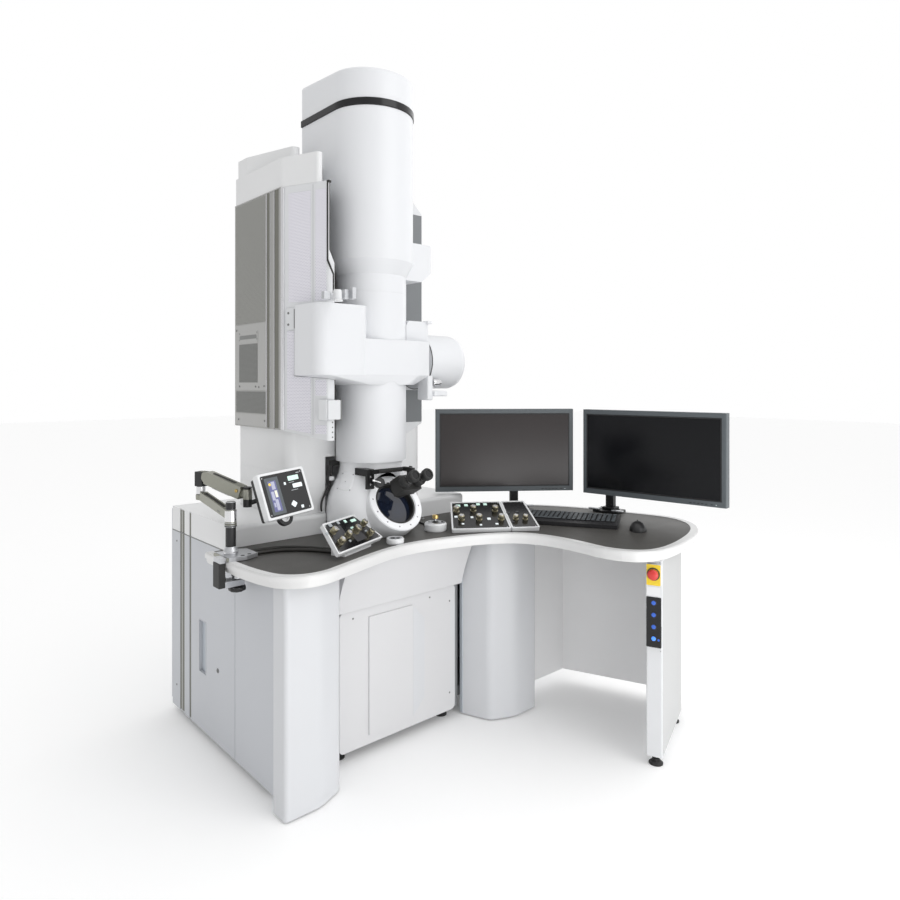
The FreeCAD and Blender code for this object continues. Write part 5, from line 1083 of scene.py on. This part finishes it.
plates("pod_keys", [(rect(-17, -2, -8, 8, 3), 18.8, 21), (rect(4, 16, -8, 8, 3), 18.8, 20.6)],
       F((-78, -261, 767), (.8, -.6, 0), (0, 0, 1)), "key_dark", "console", .8)
KF = tilted(700, -424, 776, (.494, -.869), 4)
plates("keyboard_lines", [(rect(-212, 212, 62, 66, 1), 14, 14.6)], KF, "bezel_gray", "console", .2)
bm = bmesh.new()
for row in range(6):
    for col in range(21):
        if row == 0 and 4 <= col <= 9:
            continue
        x, y = -207 + col * 19.8, -60 + row * 20.2
        add_box(bm, x + 1.6, x + 15.4, y + 1.6, y + 14.4, 18.9, 19.8)
add_box(bm, -207 + 4 * 19.8 + 2, -207 + 4 * 19.8 + 114, -58.4, -45.6, 18.9, 19.8)
emit("key_caps", bm, KF, "bezel_gray", "console", .5, 1)
plates("keyboard_lamps", [(rect(150, 154, 67, 69, 0), 14, 14.8), (rect(164, 168, 67, 69, 0), 14, 14.8)], KF, "led_white", "console", .1)
MF = F((775, -724, 767), (.6, -.8, 0), (0, 0, 1))
bm = bmesh.new()
turned(bm, MF @ F((-2.5, 30, 27), (0, 1, 0), (1, 0, 0)), [(0, 0), (7, 0), (8.5, 1.5), (8.5, 3.5), (7, 5), (0, 5)], 24)
emit("mouse_wheel", bm, ID, "rubber", "console")

# ------------------------------------------------------------------ monitors
for key, mc, md, sx, smat in (("left", (688, -81), (.796, -.605), 57.4, "screen_brown"), ("right", (969, -655), (.139, -.990), -231.3, "screen_black")):
    m = Vector((*md, 0)).normalized()
    fr = Matrix((m, Vector((-m.y, m.x, 0)), Vector((0, 0, 1)))).transposed().to_4x4()
    fr.translation = Vector((mc[0], mc[1], 0))
    scr = fr @ Matrix(((1, 0, 0, 0), (0, 0, -1, 1.2), (0, 1, 0, 0), (0, 0, 0, 1)))
    body = "monitor_" + key
    plates("screen_" + key, [(rect(-298, 298, 879.5, 1209.5, 0), -.6, .2)], scr, smat, body, 0)
    ring("bezel_" + key, rect(-299.5, 299.5, 878, 1211, 2), rect(-294, 294, 884, 1206, 1), .2, 1.6, scr, "black_plastic", body, .4)
    plates("bezel_keys_" + key, [(rect(x, x + 9, 864, 866.5, 1), 1.2, 2.4) for x in (170, 186, 202, 218, 234, 256)], scr, "black_soft", body, .2)
    plates("lamp_" + key, [(rect(276, 280, 864, 866, 0), 1.2, 1.9)], scr, "led_white", body, 0)
    bm = bmesh.new()
    for k in range(9):
        add_box(bm, -200, 200, 37.6, 39, 1100 + k * 9, 1103 + k * 9)
    emit("vents_" + key, bm, fr, "black_soft", body, .3)
    boxes("hub_back_" + key, [(-70, 70, 37, 46, 985, 1095)], fr, "black_plastic", body, 4, 3)
    boxes("post_skin_" + key, [(sx - 19.2, sx + 19.2, 85.8, 114.2, 779, 1040)], fr, "black_plastic", "console", 3, 3)
    bm = bmesh.new()
    for dx, dy in ((-46, 14), (46, 14), (-46, -30), (46, -30)):
        turned(bm, fr @ F((sx + dx, 84 + dy, 777.2), (1, 0, 0), (0, 0, 1)), [(0, 0), (7, 0), (7, 2), (4, 4), (4, 7), (0, 7.4)], 18)
    emit("stand_screws_" + key, bm, ID, "brass" if key == "left" else "steel", "console")
    boxes("stand_wing_" + key, [(sx - 84, sx - 30, 44, 62, 777.2, 784), (sx + 30, sx + 84, 44, 62, 777.2, 784)], fr, "clamp_silver",
          "console", 2.5, 3)
    boxes("stand_top_" + key, [(sx - 30, sx + 30, 70, 126, 777.2, 790)], fr, "black_metal", "console", 4, 3)

# ------------------------------------------------------------------ wing leg
LD = Vector((.934, .357, 0)).normalized()
LF = F((548, -937, 0), Vector((-LD.y, LD.x, 0)) * -1, -LD)
SN = Vector((-LD.y, LD.x, 0))
if SN.dot(Vector((-2160, -1336, 0))) < 0:
    SN = -SN
SFR = F(Vector((548, -937, 0)) + SN * 28, LD, SN)
sy = 1 if SN.cross(LD).z > 0 else -1
plates("leg_side_skin", [(rect(6, 404, min(sy * 40, sy * 724), max(sy * 40, sy * 724), 4), -.1, .7)], SFR, "leg_gray", "console", .3)
plates("leg_yellow", [(rect(-24, 24, 642, 715, 3), 14, 15.6)], LF, "yellow_plate", "console", .4)
plates("leg_white_strip", [(rect(-24, 24, 604, 636, 2), 11, 12)], LF, "plastic_white", "console", .3)
plates("leg_black_strip", [(rect(-25.5, 25.5, 424, 600, 3), 0, 11.2)], LF, "black_gloss", "console", .8)
lamps = bmesh.new()
for k, z in enumerate((580, 538, 496, 455)):
    add_lathe(lamps, [(0, 0), (7.5, 0), (7.5, 1.2), (5.5, 2.2), (0, 2.6)], 24, Matrix.Translation(Vector((0, z, 11.2))), 0 if k == 3 else 1)
add_lathe(lamps, [(0, 0), (4, 0), (4, 1.0), (0, 1.8)], 18, Matrix.Translation(Vector((17, 452, 11.2))), 1)
emit("leg_lamps", lamps, LF, ["led_blue", "led_blue_dim"], "console")
bm = bmesh.new()
for k, z in enumerate((580, 538, 496, 455)):
    add_lathe(bm, [(8.2, 0), (11, 0), (11, .8), (10, 1.3), (8.2, 1.3)], 28, Matrix.Translation(Vector((0, z, 11.2))))
emit("leg_lamp_rings", bm, LF, "black_plastic", "console")
bm = bmesh.new()
add_lathe(bm, [(19.4, 0), (22.6, 0), (22.6, 2.2), (21.6, 3.6), (19.4, 3.6)], 40, Matrix.Translation(Vector((0, 682, 15.6))))
emit("estop_collar", bm, LF, "key_dark", "console")
bm = bmesh.new()
add_lathe(bm, [(0, 0), (17.4, 1.5), (18.6, 5), (18.6, 9), (15, 14), (8, 16.4), (0, 17)], 40, Matrix.Translation(Vector((0, 682, 20.6))))
emit("estop_cap", bm, LF, "red_button", "estop")
screws("leg_screws", [(LF @ Vector((20, 724 - 4, 0)), -LD), (LF @ Vector((22, 410, 0)), -LD)], "steel", "console", 2.6, 1)


# ------------------------------------------------------------------ stage and light
bm = bmesh.new()
S = 25000
vs = [bm.verts.new(Vector(c)) for c in ((-S, -S, -.4), (S, -S, -.4), (S, S, -.4), (-S, S, -.4))]
bm.faces.new(vs)
floor_mesh = bpy.data.meshes.new("floor")
bmesh.ops.transform(bm, matrix=TO_ROW, verts=bm.verts)
bm.to_mesh(floor_mesh)
bm.free()
floor = bpy.data.objects.new("floor", floor_mesh)
bpy.context.scene.collection.objects.link(floor)
fm, fnt, fb = base("floor_white", (.97, .97, .97), .9)
fb.inputs["Emission Color"].default_value = (1, 1, 1, 1)
fb.inputs["Emission Strength"].default_value = .08
floor_mesh.materials.append(fm)

world = bpy.data.worlds.new("World")
bpy.context.scene.world = world
world.use_nodes = True
world.node_tree.nodes["Background"].inputs["Color"].default_value = (1, 1, 1, 1)
world.node_tree.nodes["Background"].inputs["Strength"].default_value = 1.0
wnt = world.node_tree
wtc = wnt.nodes.new("ShaderNodeTexCoord")
wdot = wnt.nodes.new("ShaderNodeVectorMath")
wdot.operation = "DOT_PRODUCT"
wdot.inputs[1].default_value = (-1.0, .1, 0)
wmr = wnt.nodes.new("ShaderNodeMapRange")
wmr.inputs["From Min"].default_value = .05
wmr.inputs["From Max"].default_value = .8
wmr.inputs["To Min"].default_value = 1.0
wmr.inputs["To Max"].default_value = .62
wnt.links.new(wtc.outputs["Generated"], wdot.inputs[0])
wnt.links.new(wdot.outputs["Value"], wmr.inputs["Value"])
wnt.links.new(wmr.outputs["Result"], wnt.nodes["Background"].inputs["Strength"])


def area(name, loc, target, size, power, color=(1, 1, 1)):
    d = bpy.data.lights.new(name, "AREA")
    d.shape = "RECTANGLE"
    d.size, d.size_y = size
    d.energy = power
    d.color = color
    o = bpy.data.objects.new(name, d)
    bpy.context.scene.collection.objects.link(o)
    o.location = P(*loc)
    o.rotation_euler = (P(*target) - o.location).to_track_quat("-Z", "Y").to_euler()
    return o


area("key_front", (900, -3800, 3400), (100, -300, 1000), (2.6, 2.6), 30)
area("fill_left", (-3600, -900, 2600), (-300, 0, 1100), (2.4, 3.0), 2)
area("fill_low", (150, -2600, 420), (480, -200, 330), (2.2, .6), 12)
area("top_soft", (200, -600, 4600), (100, -100, 900), (3.5, 3.5), 10)
area("rim_right", (3200, 400, 2800), (300, 0, 1300), (2.0, 3.0), 6)
bpy.context.scene.view_settings.view_transform = "Standard"
bpy.context.scene.view_settings.look = "None"
bpy.context.scene.view_settings.exposure = 0.0
